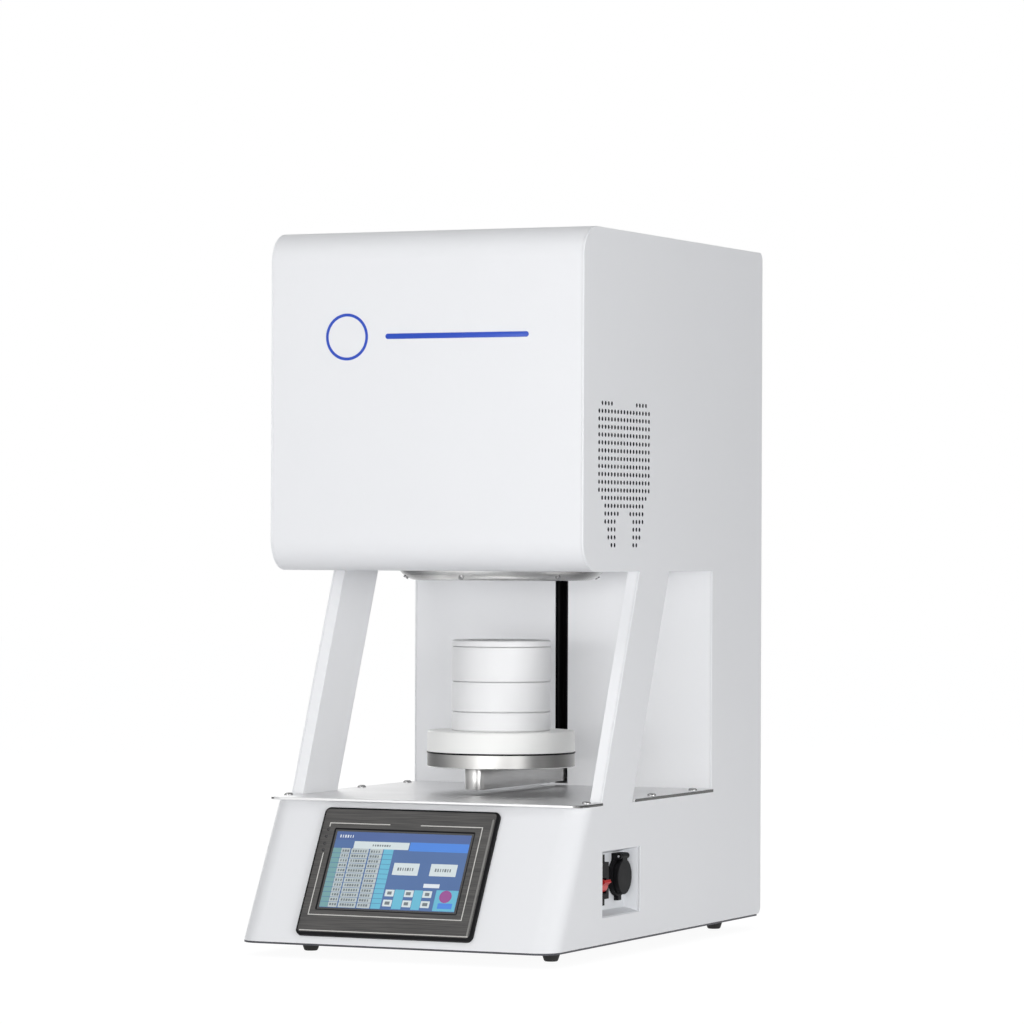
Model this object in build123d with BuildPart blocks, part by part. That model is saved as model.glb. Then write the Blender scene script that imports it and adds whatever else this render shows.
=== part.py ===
from build123d import *

import os
from math import atan2, cos, sin

# Bench furnace that sinters dental work: a bottom-loading chamber in a housing, held by two side plates
# over a base, with a lift that raises the hearth through the mouth.
# Millimetres. +Z is up, -Y is the front, +X is the side with the power recess.
# The origin is on the table, at the centre of the furnace's footprint.

# Overall
body_width = 340.0              # across the outer faces of the side plates
housing_height = 336.0
working_gap = 225.0             # top plate to the housing's underside
base_height = 138.0             # lower edge of the base to the top of its steel plate
foot_height = 15.0              # table to the lower edge of the base
base_toe = 70.0                 # the base's foot in front of the housing
base_setback = 5.5              # top of the base's slanted front behind the housing's front

# Sheet metal
side_sheet = 2.5
sheet = 2.0
housing_bend = 30.0
rear_bend = 8.0
base_bend = 20.0
base_seam_flat = 6.0            # flat part of the nose between its bend and the side plate
column_depth = 139.0            # front panel of the column to the back face
strut_top_setback = 140.0       # strut's front edge behind the housing's front, at the underside
strut_foot_setback = 46.5       # the same at the top plate
strut_width = 77.0
strut_thickness = 13.0
strut_wall = 1.5
rear_return = 20.0              # the roof sheet's flange down the back

# Steel plate on the base
plate_thickness = 3.0
plate_lip = 13.0                # over the slanted front
plate_side_lip = 2.0
plate_corner = 20.0
plate_edge = 1.0
notch_clearance = 0.5
plate_screw_edge = 7.5          # screw centre to the side face of the body
plate_screw_setbacks = (27.0, 191.0, 299.0)
plate_screw_radius = 4.5
plate_screw_height = 2.4

# Pan and feet
pan_thickness = 2.0
pan_inset = 1.0
foot_top_radius = 11.2
foot_bottom_radius = 9.5
foot_edge = 1.0
foot_inset = 39.3               # foot centre to the side face of the body
front_foot_setback = 15.5       # behind the housing's front
rear_foot_setback = 34.0        # before the back face

# Touch panel on the slanted front
bezel_width = 190.0
bezel_height = 138.0
bezel_corner = 5.0
bezel_thickness = 5.0
bezel_chamfer = 1.4
bezel_offset = -10.6            # from the centre of the front
bezel_low = 8.0                 # lower edge of the bezel, up the slope from the edge of the base
screen_width = 150.0
screen_height = 86.0
screen_raise = 1.5              # screen's centre above the bezel's centre
screen_shift = -2.4             # and beside it
screen_recess = 0.8
panel_body_width = 176.0
panel_body_height = 118.0
panel_body_depth = 27.0
panel_clearance = 1.0

# Furnace
axis_setback = 182.0            # furnace axis behind the housing's front
column_setback = 150.0          # column behind the furnace axis
flange_lip = 8.5                # flat rim round the mouth
flange_spread = 16.5            # dished face, rim to housing
flange_height = 10.0
flange_bulge = 1.6
mouth_clearance = 4.0           # round the disc and plug
mouth_sheet_margin = 5.0        # sheet cut larger than the mouth
chamber_clearance = 5.0         # round the disc and plug
insulation_wall = 45.0
chamber_height = 160.0          # underside of the housing to the chamber's roof
roof_thickness = 66.0
can_wall = 1.5
can_lip = 14.0
flange_screw_count = 6
flange_screw_radius = 2.6
flange_screw_height = 1.6

# Heating elements
element_count = 6
element_circle = 65.0
element_span = 30.0
element_radius = 3.0
terminal_radius = 6.0
terminal_clearance = 0.5
element_bottom = 28.0           # lowest point above the housing's underside
element_shoulder = 12.0         # hot part ends this far below the chamber's roof
terminal_rise = 62.0            # above the roof's top
holder_length = 52.0
holder_width = 20.0
holder_height = 18.0
probe_radius = 4.0
probe_reach = 14.0              # tip below the chamber's roof
probe_head_radius = 13.0
probe_head_height = 24.0

# Hearth and crucible
disc_radius = 75.0
disc_thickness = 14.5
disc_gap = 1.2                  # relief of the arm's nose under the disc
plug_thickness = 22.0
plug_edge = 2.0
arm_clearance = 5.3             # arm above the steel plate at its lowest
arm_height = 20.8
arm_width = 21.0
arm_nose_corner = 4.0
arm_front_inset = 4.0           # arm's nose behind the disc's front
arm_end_gap = 17.0              # end of the wide bar to the column
tongue_width = 10.0
slot_width = 12.0
slot_foot = 2.0
slot_end = 11.5                 # below the housing
crucible_radius = 50.4
tray_wall = 5.0
tray_floor = 4.0
tray_chamfer = 1.2
base_tray_height = 19.2
middle_tray_height = 30.2
upper_tray_height = 35.1
lid_height = 6.3
lid_edge = 2.2
seat_gap = 0.3                  # between stacked ceramics
spigot_height = 2.0
spigot_clearance = 0.8

# Lift drive in the column
channel_width = 70.0
channel_wall = 4.0
channel_depth = 72.0
channel_standoff = 6.5          # channel's lips behind the column's front panel
screw_radius = 6.0
screw_fit = 0.05
screw_depth = 34.0              # screw axis behind the channel's lips
rod_radius = 5.0
rod_spacing = 44.0
block_height = 16.0
block_depth = 56.0
lower_block_top = 125.0         # above the table
channel_rise = 50.0             # into the housing
upper_block_drop = 3.0          # under the channel's top
bearing_radius = 12.0
bearing_height = 9.0
carriage_width = 58.0
carriage_height = 36.0
carriage_rise = 2.0             # above the arm
carriage_depth = 30.0
carriage_slide = 0.05
nut_radius = 12.0
nut_flange_radius = 17.0
nut_flange = 5.0
nut_length = 30.0
motor_size = 56.0
motor_corner = 5.0
motor_gap = 4.0                 # motor above the pan
motor_height = 70.0
coupling_radius = 10.0
coupling_gap = 1.0
motor_shaft_radius = 4.0
motor_shaft_out = 12.0
motor_shaft_in = 20.0
motor_foot_radius = 5.0

# Recess on the right side
recess_setback = 50.0           # front edge of the opening behind the housing's front
recess_length = 94.0
recess_low = 25.7               # above the lower edge of the base
recess_height = 64.8
recess_depth = 16.0
recess_inset = 4.5              # the pocket's floor is this much smaller all round
recess_wall = 1.2
recess_rim = 5.0
breaker_setback = 71.5
breaker_width = 30.0
breaker_height = 50.0
breaker_front = 2.5
breaker_nose = 7.0
breaker_nose_height = 36.0
breaker_depth = 42.0
breaker_rise = 34.3             # centre above the opening's lower edge
toggle_width = 16.0
toggle_drum = 7.0
toggle_drop = 5.0               # pivot below the breaker's centre
toggle_reach = 11.0             # pivot to tip
toggle_root = 8.0
toggle_tip = 3.0
toggle_tilt = 28.0
toggle_clearance = 0.4
inlet_setback = 118.5
inlet_rise = 35.8               # centre above the opening's lower edge
inlet_radius = 19.5
inlet_flange = 5.0
inlet_barrel_radius = 16.0
inlet_depth = 30.0
inlet_socket_radius = 12.5
inlet_socket_depth = 18.0
pin_circle = 8.5
pin_radius = 1.8
pin_length = 13.0
lid_radius = 17.5
lid_thickness = 5.0
lid_gap = 0.5
lid_hinge_rise = 20.5
lid_pin_radius = 1.2
lid_pin_fit = 0.05
lid_knuckle_radius = 3.0
lid_knuckle_length = 12.0
lid_ear_length = 4.0
lid_edge_radius = 1.0
inlet_tab = 4.0

# Electronics in the base
transformer_radius = 55.0
transformer_hole = 16.0
transformer_height = 52.0
transformer_gap = 27.5          # to the right side plate
transformer_y = 20.0
board_size = (120.0, 90.0)
board_thickness = 1.6
board_gap = 22.5                # to the left side plate
board_y = -75.0
board_post_height = 12.0
board_post_radius = 3.0
board_post_inset = 6.0
chip_height = 9.0
relay_gap = 27.5                # to the left side plate
relay_y = 55.0
relay_size = (90.0, 70.0)
relay_base = 6.0
relay_fin_height = 28.0
relay_fin_thickness = 2.5
relay_fin_count = 8

# Back panel
vent_slot = (44.0, 5.0)
vent_pitch = 11.0
vent_rows = 6
vent_top = 60.0                 # highest row below the roof
vent_spread = 150.0

# Levels and places that follow
half_width = body_width / 2
inner_half = half_width - side_sheet
housing_depth = axis_setback + column_setback + column_depth
housing_front = base_toe - (base_toe + housing_depth) / 2
back_face = housing_front + housing_depth
column_front = back_face - column_depth
base_bottom = foot_height
plate_top = base_bottom + base_height
plate_bottom = plate_top - plate_thickness
housing_bottom = plate_top + working_gap
housing_top = housing_bottom + housing_height
chamber_floor = housing_bottom + sheet
chamber_top = housing_bottom + chamber_height
roof_top = chamber_top + roof_thickness
mouth_radius = disc_radius + mouth_clearance
flange_bottom_radius = mouth_radius + flange_lip
flange_top_radius = flange_bottom_radius + flange_spread
chamber_radius = disc_radius + chamber_clearance
insulation_radius = chamber_radius + insulation_wall
axis_y = housing_front + axis_setback
furnace_axis = Axis((0, axis_y, 0), (0, 0, 1))
furnace_section = Plane(origin=(0, axis_y, 0), x_dir=(1, 0, 0), z_dir=(0, -1, 0))

nose_low = housing_front - base_toe
nose_high = housing_front + base_setback
slope_rise = plate_bottom - base_bottom
slope_run = nose_high - nose_low
slope_angle = atan2(slope_run, slope_rise)
slope = Plane(
    origin=(0, nose_low, base_bottom),
    x_dir=(1, 0, 0),
    z_dir=(0, -cos(slope_angle), sin(slope_angle)),
)
seam_run = base_bend / cos(slope_angle) + base_seam_flat
strut_top_front = housing_front + strut_top_setback
strut_foot_front = housing_front + strut_foot_setback


def corner(y, z):
    """The corner of the outline being drawn that is nearest to a place."""
    return vertices().sort_by_distance((y, z))[0]


os.makedirs("parts", exist_ok=True)

# Side plates
recess_y = housing_front + recess_setback + recess_length / 2
recess_z = base_bottom + recess_low + recess_height / 2
for side, name in ((-1, "left"), (1, "right")):
    inner_face = inner_half if side > 0 else -half_width
    with BuildPart() as side_plate:
        with BuildSketch(Plane.YZ.offset(inner_face)):
            with BuildLine():
                Polyline(
                    (housing_front, housing_bottom),
                    (housing_front, housing_top),
                    (back_face, housing_top),
                    (back_face, base_bottom),
                    (nose_low + seam_run, base_bottom),
                    (nose_high + seam_run, plate_bottom),
                    (strut_foot_front, plate_bottom),
                    (strut_top_front, housing_bottom),
                    close=True,
                )
            make_face()
            fillet(corner(housing_front, housing_bottom), housing_bend)
            fillet(corner(housing_front, housing_top), housing_bend)
            fillet(corner(back_face, housing_top), rear_bend)
            fillet(corner(back_face, base_bottom), rear_bend)
            with BuildLine():
                Polyline(
                    (strut_foot_front + strut_width, plate_bottom),
                    (strut_top_front + strut_width, housing_bottom),
                    (column_front, housing_bottom),
                    (column_front, plate_bottom),
                    close=True,
                )
            make_face(mode=Mode.SUBTRACT)
            if side > 0:
                with Locations((recess_y, recess_z)):
                    Rectangle(recess_length, recess_height, mode=Mode.SUBTRACT)
        extrude(amount=side_sheet)
    side_plate.part.label = f"side_plate_{name}"
    export_step(side_plate.part, f"parts/side_plate_{name}.step")

# Housing shell: underside, front and roof of one bent sheet, with a short flange down the back
half_sheet = sheet / 2
with BuildPart() as housing_shell:
    with BuildSketch(Plane.YZ.offset(-inner_half)):
        with BuildLine() as middle_of_sheet:
            FilletPolyline(
                (column_front + sheet, housing_bottom + half_sheet),
                (housing_front + half_sheet, housing_bottom + half_sheet),
                (housing_front + half_sheet, housing_top - half_sheet),
                (back_face - half_sheet, housing_top - half_sheet),
                (back_face - half_sheet, housing_top - rear_return),
                radius=[housing_bend - half_sheet, housing_bend - half_sheet, rear_bend - half_sheet],
            )
        trace(middle_of_sheet.line, sheet)
    extrude(amount=2 * inner_half)
    with BuildSketch(Plane.XY.offset(housing_bottom)):
        with Locations((0, axis_y)):
            Circle(mouth_radius + mouth_sheet_margin)
    extrude(amount=sheet, mode=Mode.SUBTRACT)
housing_shell.part.label = "housing_shell"
export_step(housing_shell.part, "parts/housing_shell.step")

# Back panel, from the roof's flange down to the pan, with cooling slots
panel_foot = base_bottom + rear_bend
panel_head = housing_top - rear_return
with BuildPart() as back_panel:
    with BuildSketch(Plane.XZ.offset(-back_face)):
        with Locations((0, (panel_foot + panel_head) / 2)):
            Rectangle(2 * inner_half, panel_head - panel_foot)
        for row in range(vent_rows):
            slot_level = housing_top - vent_top - row * vent_pitch
            with Locations((-vent_spread / 2, slot_level), (vent_spread / 2, slot_level)):
                SlotOverall(*vent_slot, mode=Mode.SUBTRACT)
    extrude(amount=sheet)
back_panel.part.label = "back_panel"
export_step(back_panel.part, "parts/back_panel.step")

# Column front panel with the slot that the lift's tongue runs in
slot_bottom = plate_top + slot_foot
slot_top = housing_bottom - slot_end
with BuildPart() as column_front_panel:
    with BuildSketch(Plane.XZ.offset(-column_front)):
        with Locations((0, (plate_top + housing_bottom) / 2)):
            Rectangle(2 * inner_half, housing_bottom - plate_top)
        with Locations((0, (slot_bottom + slot_top) / 2)):
            Rectangle(slot_width, slot_top - slot_bottom, mode=Mode.SUBTRACT)
    extrude(amount=-sheet)
column_front_panel.part.label = "column_front_panel"
export_step(column_front_panel.part, "parts/column_front_panel.step")

# Strut covers: slanted channels that close the inside of each strut
strut_lean = (strut_top_setback - strut_foot_setback) / (housing_bottom - plate_bottom)


def strut_outline(inset):
    """Corners of the strut, from the steel plate to the housing, moved in from its edges."""
    foot = strut_foot_front + strut_lean * plate_thickness + inset
    top = strut_top_front + inset
    width = strut_width - 2 * inset
    return (foot, plate_top), (top, housing_bottom), (top + width, housing_bottom), (foot + width, plate_top)


for side, name in ((-1, "left"), (1, "right")):
    with BuildPart() as strut_cover:
        with BuildSketch(Plane.YZ.offset(side * inner_half)):
            with BuildLine():
                Polyline(*strut_outline(0), close=True)
            make_face()
        extrude(amount=-side * (strut_thickness - side_sheet))
        with BuildSketch(Plane.YZ.offset(side * inner_half)):
            with BuildLine():
                Polyline(*strut_outline(strut_wall), close=True)
            make_face()
        extrude(amount=-side * (strut_thickness - side_sheet - strut_wall), mode=Mode.SUBTRACT)
    strut_cover.part.label = f"strut_cover_{name}"
    export_step(strut_cover.part, f"parts/strut_cover_{name}.step")


def base_nose(inset, bend, overrun):
    """The slanted nose of the base as a solid: moved in by inset, and longer by overrun at each end."""
    shift = inset / cos(slope_angle)
    lean = overrun * slope_run / slope_rise
    with BuildPart() as nose:
        with BuildSketch(Plane.YZ.offset(inset - half_width)):
            with BuildLine():
                Polyline(
                    (nose_low + shift - lean, base_bottom - overrun),
                    (nose_high + shift + lean, plate_bottom + overrun),
                    (nose_high + seam_run + overrun + lean, plate_bottom + overrun),
                    (nose_low + seam_run + overrun - lean, base_bottom - overrun),
                    close=True,
                )
            make_face()
        extrude(amount=2 * (half_width - inset))
        front_face = nose.faces().sort_by(Axis.Y)[0]
        fillet(front_face.edges().filter_by(Axis.X, reverse=True), bend)
    return nose.part


# Base front panel: the slanted front with its two large bends, up to the side plates
bezel_centre = bezel_low + bezel_height / 2
nose_outside = base_nose(0, base_bend, 0)
nose_inside = base_nose(side_sheet, base_bend - side_sheet, 2 * side_sheet)
with BuildPart() as base_front_panel:
    add(nose_outside)
    add(nose_inside, mode=Mode.SUBTRACT)
    with BuildSketch(slope):
        with Locations((bezel_offset, bezel_centre)):
            Rectangle(panel_body_width + 2 * panel_clearance, panel_body_height + 2 * panel_clearance)
    extrude(amount=-2 * side_sheet, mode=Mode.SUBTRACT)
base_front_panel.part.label = "base_front_panel"
export_step(base_front_panel.part, "parts/base_front_panel.step")

# Base pan, bent up at the back to meet the back panel
pan_front = nose_low + pan_inset
with BuildPart() as base_pan:
    with BuildSketch(Plane.XY.offset(base_bottom - pan_thickness)):
        with BuildLine():
            Polyline(
                (pan_inset - half_width, pan_front),
                (half_width - pan_inset, pan_front),
                (half_width - pan_inset, back_face - rear_bend),
                (pan_inset - half_width, back_face - rear_bend),
                close=True,
            )
        make_face()
        fillet(vertices().group_by(Axis.Y)[0], base_bend)
    extrude(amount=pan_thickness)
    with BuildSketch(Plane.YZ.offset(-inner_half)):
        with BuildLine() as pan_tail:
            FilletPolyline(
                (back_face - 2 * rear_bend, base_bottom + half_sheet),
                (back_face - half_sheet, base_bottom + half_sheet),
                (back_face - half_sheet, panel_foot),
                radius=rear_bend - 2 * half_sheet,
            )
        trace(pan_tail.line, sheet)
    extrude(amount=2 * inner_half)
base_pan.part.label = "base_pan"
export_step(base_pan.part, "parts/base_pan.step")

# Steel plate on the base, notched round the struts and the column
plate_front = nose_high - plate_lip
plate_rear = column_front + sheet
plate_half = half_width + plate_side_lip
notch_half = inner_half - notch_clearance
with BuildPart() as base_top_plate:
    with BuildSketch(Plane.XY.offset(plate_bottom)):
        with BuildLine():
            Polyline(
                (-plate_half, plate_front),
                (plate_half, plate_front),
                (plate_half, plate_rear),
                (-plate_half, plate_rear),
                close=True,
            )
        make_face()
        fillet(vertices().group_by(Axis.Y)[0], plate_corner)
        notch_front = strut_foot_front - notch_clearance
        notch_rear = strut_foot_front + strut_width + strut_lean * plate_thickness + notch_clearance
        for side in (-1, 1):
            outward = side * (notch_half + plate_half) / 2
            with Locations((outward, (notch_front + notch_rear) / 2)):
                Rectangle(plate_half - notch_half, notch_rear - notch_front, mode=Mode.SUBTRACT)
            with Locations((outward, plate_rear)):
                Rectangle(plate_half - notch_half, 2 * sheet, mode=Mode.SUBTRACT)
    extrude(amount=plate_thickness)
    front_lip = faces().sort_by(Axis.Y)[0]
    fillet(front_lip.edges().filter_by(Axis.X), plate_edge)
base_top_plate.part.label = "base_top_plate"
export_step(base_top_plate.part, "parts/base_top_plate.step")

# Button screws that hold the steel plate down
with BuildPart() as plate_screws:
    for setback in plate_screw_setbacks:
        for side in (-1, 1):
            place = (side * (half_width - plate_screw_edge), housing_front + setback, plate_top)
            with BuildSketch(Plane(origin=place)):
                Circle(plate_screw_radius)
            extrude(amount=plate_screw_height)
    fillet(edges().group_by(Axis.Z)[-1], plate_screw_height / 2)
plate_screws.part.label = "plate_screws"
export_step(plate_screws.part, "parts/plate_screws.step")

# Rubber feet under the pan
foot_x = half_width - foot_inset
foot_ys = (housing_front + front_foot_setback, back_face - rear_foot_setback)
foot_top = base_bottom - pan_thickness
with BuildPart() as feet:
    for x in (-foot_x, foot_x):
        for y in foot_ys:
            with BuildSketch(Plane(origin=(x, y, 0))):
                Circle(foot_bottom_radius)
            with BuildSketch(Plane(origin=(x, y, foot_top))):
                Circle(foot_top_radius)
            loft()
    chamfer(edges().group_by(Axis.Z)[0], foot_edge)
feet.part.label = "feet"
export_step(feet.part, "parts/feet.step")

# Touch panel: bezel on the slope, screen in its window, body through the sheet
bezel_face = Plane(
    origin=slope.from_local_coords((bezel_offset, bezel_centre, 0)),
    x_dir=slope.x_dir,
    z_dir=slope.z_dir,
)
outward_from_slope = Axis((0, 0, 0), slope.z_dir)
with BuildPart() as touch_panel_bezel:
    with BuildSketch(bezel_face):
        RectangleRounded(bezel_width, bezel_height, bezel_corner)
    extrude(amount=bezel_thickness)
    chamfer(faces().sort_by(outward_from_slope)[-1].edges(), bezel_chamfer)
    with BuildSketch(bezel_face):
        with Locations((screen_shift, screen_raise)):
            Rectangle(screen_width, screen_height)
    extrude(amount=bezel_thickness, mode=Mode.SUBTRACT)
touch_panel_bezel.part.label = "touch_panel_bezel"
export_step(touch_panel_bezel.part, "parts/touch_panel_bezel.step")

with BuildPart() as touch_screen:
    with BuildSketch(bezel_face):
        with Locations((screen_shift, screen_raise)):
            Rectangle(screen_width, screen_height)
    extrude(amount=bezel_thickness - screen_recess)
touch_screen.part.label = "touch_screen"
export_step(touch_screen.part, "parts/touch_screen.step")

with BuildPart() as touch_panel_body:
    with BuildSketch(bezel_face):
        RectangleRounded(panel_body_width, panel_body_height, bezel_corner)
    extrude(amount=-panel_body_depth)
touch_panel_body.part.label = "touch_panel_body"
export_step(touch_panel_body.part, "parts/touch_panel_body.step")

# Mouth flange: dished ring under the housing
flange_bottom = housing_bottom - flange_height
flange_mid = (
    (flange_top_radius + flange_bottom_radius) / 2 + flange_bulge,
    housing_bottom - flange_height / 2 - flange_bulge,
)
with BuildPart() as mouth_flange:
    with BuildSketch(furnace_section):
        with BuildLine():
            Polyline(
                (flange_bottom_radius, flange_bottom),
                (mouth_radius, flange_bottom),
                (mouth_radius, housing_bottom),
                (flange_top_radius, housing_bottom),
            )
            ThreePointArc(
                (flange_top_radius, housing_bottom),
                flange_mid,
                (flange_bottom_radius, flange_bottom),
            )
        make_face()
    revolve(axis=furnace_axis)
mouth_flange.part.label = "mouth_flange"
export_step(mouth_flange.part, "parts/mouth_flange.step")

# Chamber: insulation ring, roof with holes for the elements, and the steel can round both
with BuildPart() as chamber_insulation:
    with BuildSketch(Plane.XY.offset(chamber_floor)):
        with Locations((0, axis_y)):
            Circle(insulation_radius)
            Circle(chamber_radius, mode=Mode.SUBTRACT)
    extrude(amount=chamber_top - chamber_floor)
chamber_insulation.part.label = "chamber_insulation"
export_step(chamber_insulation.part, "parts/chamber_insulation.step")

roof_plane = Plane(origin=(0, axis_y, chamber_top))
with BuildPart() as chamber_roof:
    with BuildSketch(roof_plane):
        Circle(insulation_radius)
        with PolarLocations(element_circle, element_count):
            with Locations((0, -element_span / 2), (0, element_span / 2)):
                Circle(terminal_radius + terminal_clearance, mode=Mode.SUBTRACT)
        Circle(probe_radius + terminal_clearance, mode=Mode.SUBTRACT)
    extrude(amount=roof_thickness)
chamber_roof.part.label = "chamber_roof"
export_step(chamber_roof.part, "parts/chamber_roof.step")

with BuildPart() as chamber_can:
    with BuildSketch(furnace_section):
        with BuildLine():
            Polyline(
                (insulation_radius, chamber_floor),
                (insulation_radius + can_wall, chamber_floor),
                (insulation_radius + can_wall, roof_top + can_wall),
                (insulation_radius - can_lip, roof_top + can_wall),
                (insulation_radius - can_lip, roof_top),
                (insulation_radius, roof_top),
                close=True,
            )
        make_face()
    revolve(axis=furnace_axis)
chamber_can.part.label = "chamber_can"
export_step(chamber_can.part, "parts/chamber_can.step")

# U-shaped heating elements, hung from the roof by their thick ends
element_low = housing_bottom + element_bottom + element_radius
shoulder = chamber_top - element_shoulder
terminal_top = roof_top + terminal_rise
with BuildPart() as one_element:
    with BuildLine() as element_path:
        Line((0, -element_span / 2, shoulder), (0, -element_span / 2, element_low + element_span / 2))
        ThreePointArc(
            (0, -element_span / 2, element_low + element_span / 2),
            (0, 0, element_low),
            (0, element_span / 2, element_low + element_span / 2),
        )
        Line((0, element_span / 2, element_low + element_span / 2), (0, element_span / 2, shoulder))
    with BuildSketch(Plane(origin=element_path.line @ 0, z_dir=element_path.line % 0)):
        Circle(element_radius)
    sweep(path=element_path.line)
    with BuildSketch(Plane.XY.offset(shoulder)):
        with Locations((0, -element_span / 2), (0, element_span / 2)):
            Circle(terminal_radius)
    extrude(amount=terminal_top - shoulder)
with BuildPart() as heating_elements:
    with Locations((0, axis_y)):
        with PolarLocations(element_circle, element_count):
            add(one_element.part)
heating_elements.part.label = "heating_elements"
export_step(heating_elements.part, "parts/heating_elements.step")

with BuildPart() as element_holders:
    with BuildSketch(Plane(origin=(0, axis_y, roof_top))):
        with PolarLocations(element_circle, element_count):
            Rectangle(holder_width, holder_length)
            with Locations((0, -element_span / 2), (0, element_span / 2)):
                Circle(terminal_radius, mode=Mode.SUBTRACT)
    extrude(amount=holder_height)
element_holders.part.label = "element_holders"
export_step(element_holders.part, "parts/element_holders.step")

# Thermocouple in its ceramic tube, with its head on the roof
with BuildPart() as thermocouple:
    with BuildSketch(Plane(origin=(0, axis_y, chamber_top - probe_reach))):
        Circle(probe_radius)
    extrude(amount=probe_reach + roof_thickness)
    with BuildSketch(Plane(origin=(0, axis_y, roof_top))):
        Circle(probe_head_radius)
    extrude(amount=probe_head_height)
thermocouple.part.label = "thermocouple"
export_step(thermocouple.part, "parts/thermocouple.step")

# Screws of the mouth flange, square to its dished face
flange_slope = Plane(
    origin=(flange_mid[0], 0, flange_mid[1]),
    x_dir=(0, 1, 0),
    z_dir=(flange_height, 0, flange_bottom_radius - flange_top_radius),
)
with BuildPart() as one_flange_screw:
    with BuildSketch(flange_slope.offset(-flange_screw_height)):
        Circle(flange_screw_radius)
    extrude(amount=2 * flange_screw_height)
with BuildPart() as flange_screws:
    with Locations((0, axis_y)):
        with PolarLocations(0, flange_screw_count, start_angle=-90):
            add(one_flange_screw.part)
    add(mouth_flange.part, mode=Mode.SUBTRACT)
flange_screws.part.label = "flange_screws"
export_step(flange_screws.part, "parts/flange_screws.step")

# Lift arm: bar under the disc with a round nose, and a narrow tongue through the slot
arm_bottom = plate_top + arm_clearance
arm_top = arm_bottom + arm_height
disc_bottom = arm_top
arm_front = axis_y - disc_radius + arm_front_inset
channel_front = column_front + sheet + channel_standoff
screw_y = channel_front + screw_depth
carriage_front = screw_y - carriage_depth / 2
with BuildPart() as lift_arm:
    with BuildSketch(Plane.XY.offset(arm_bottom)):
        with BuildLine():
            Polyline(
                (-arm_width / 2, arm_front),
                (arm_width / 2, arm_front),
                (arm_width / 2, column_front - arm_end_gap),
                (tongue_width / 2, column_front - arm_end_gap),
                (tongue_width / 2, carriage_front),
                (-tongue_width / 2, carriage_front),
                (-tongue_width / 2, column_front - arm_end_gap),
                (-arm_width / 2, column_front - arm_end_gap),
                close=True,
            )
        make_face()
        fillet(vertices().group_by(Axis.Y)[0], arm_nose_corner)
    extrude(amount=arm_height)
    with BuildSketch(Plane.XY.offset(arm_top)):
        with Locations((0, arm_front + arm_width / 2)):
            Rectangle(arm_width, arm_width)
    extrude(amount=-disc_gap, mode=Mode.SUBTRACT)
lift_arm.part.label = "lift_arm"
export_step(lift_arm.part, "parts/lift_arm.step")

# Hearth: steel disc on the arm, and the insulation plug that closes the mouth
disc_top = disc_bottom + disc_thickness
plug_top = disc_top + plug_thickness
with BuildPart() as hearth_disc:
    with BuildSketch(Plane(origin=(0, axis_y, disc_bottom))):
        Circle(disc_radius)
    extrude(amount=disc_thickness)
hearth_disc.part.label = "hearth_disc"
export_step(hearth_disc.part, "parts/hearth_disc.step")

with BuildPart() as insulation_plug:
    with BuildSketch(Plane(origin=(0, axis_y, disc_top))):
        Circle(disc_radius)
    extrude(amount=plug_thickness)
    fillet(edges().group_by(Axis.Z)[-1], plug_edge)
insulation_plug.part.label = "insulation_plug"
export_step(insulation_plug.part, "parts/insulation_plug.step")

# Crucible: three stacked trays and a lid, each with a spigot in the tray below it
tray_bore = crucible_radius - tray_wall
spigot_radius = tray_bore - spigot_clearance


def ceramic_dish(level, height, has_spigot):
    """One tray of the stack, with chamfered outer edges, standing at a level."""
    with BuildPart() as dish:
        with BuildSketch(Plane(origin=(0, axis_y, level))):
            Circle(crucible_radius)
        extrude(amount=height)
        chamfer(dish.edges(), tray_chamfer)
        with BuildSketch(Plane(origin=(0, axis_y, level + tray_floor))):
            Circle(tray_bore)
        extrude(amount=height, mode=Mode.SUBTRACT)
        if has_spigot:
            with BuildSketch(Plane(origin=(0, axis_y, level))):
                Circle(spigot_radius)
            extrude(amount=-spigot_height)
    return dish.part


middle_tray_level = plug_top + base_tray_height + seat_gap
upper_tray_level = middle_tray_level + middle_tray_height + seat_gap
lid_level = upper_tray_level + upper_tray_height + seat_gap
stack = (
    ("crucible_base_tray", plug_top, base_tray_height, False),
    ("crucible_middle_tray", middle_tray_level, middle_tray_height, True),
    ("crucible_upper_tray", upper_tray_level, upper_tray_height, True),
)
for tray_name, level, height, has_spigot in stack:
    tray = ceramic_dish(level, height, has_spigot)
    tray.label = tray_name
    export_step(tray, f"parts/{tray_name}.step")

with BuildPart() as crucible_lid:
    with BuildSketch(Plane(origin=(0, axis_y, lid_level))):
        Circle(crucible_radius)
    extrude(amount=lid_height)
    fillet(edges().group_by(Axis.Z)[-1], lid_edge)
    with BuildSketch(Plane(origin=(0, axis_y, lid_level))):
        Circle(spigot_radius)
    extrude(amount=-spigot_height)
crucible_lid.part.label = "crucible_lid"
export_step(crucible_lid.part, "parts/crucible_lid.step")

# Lift drive: black channel in the column, open to the slot
channel_half = channel_width / 2
channel_inner = channel_half - channel_wall
channel_back = channel_front + channel_depth
channel_top = housing_bottom + channel_rise
with BuildPart() as drive_channel:
    with BuildSketch(Plane.XY.offset(base_bottom)):
        with BuildLine():
            Polyline(
                (-channel_half, channel_front),
                (-channel_half, channel_back),
                (channel_half, channel_back),
                (channel_half, channel_front),
                (channel_inner, channel_front),
                (channel_inner, channel_back - channel_wall),
                (-channel_inner, channel_back - channel_wall),
                (-channel_inner, channel_front),
                close=True,
            )
        make_face()
    extrude(amount=channel_top - base_bottom)
drive_channel.part.label = "drive_channel"
export_step(drive_channel.part, "parts/drive_channel.step")

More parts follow.
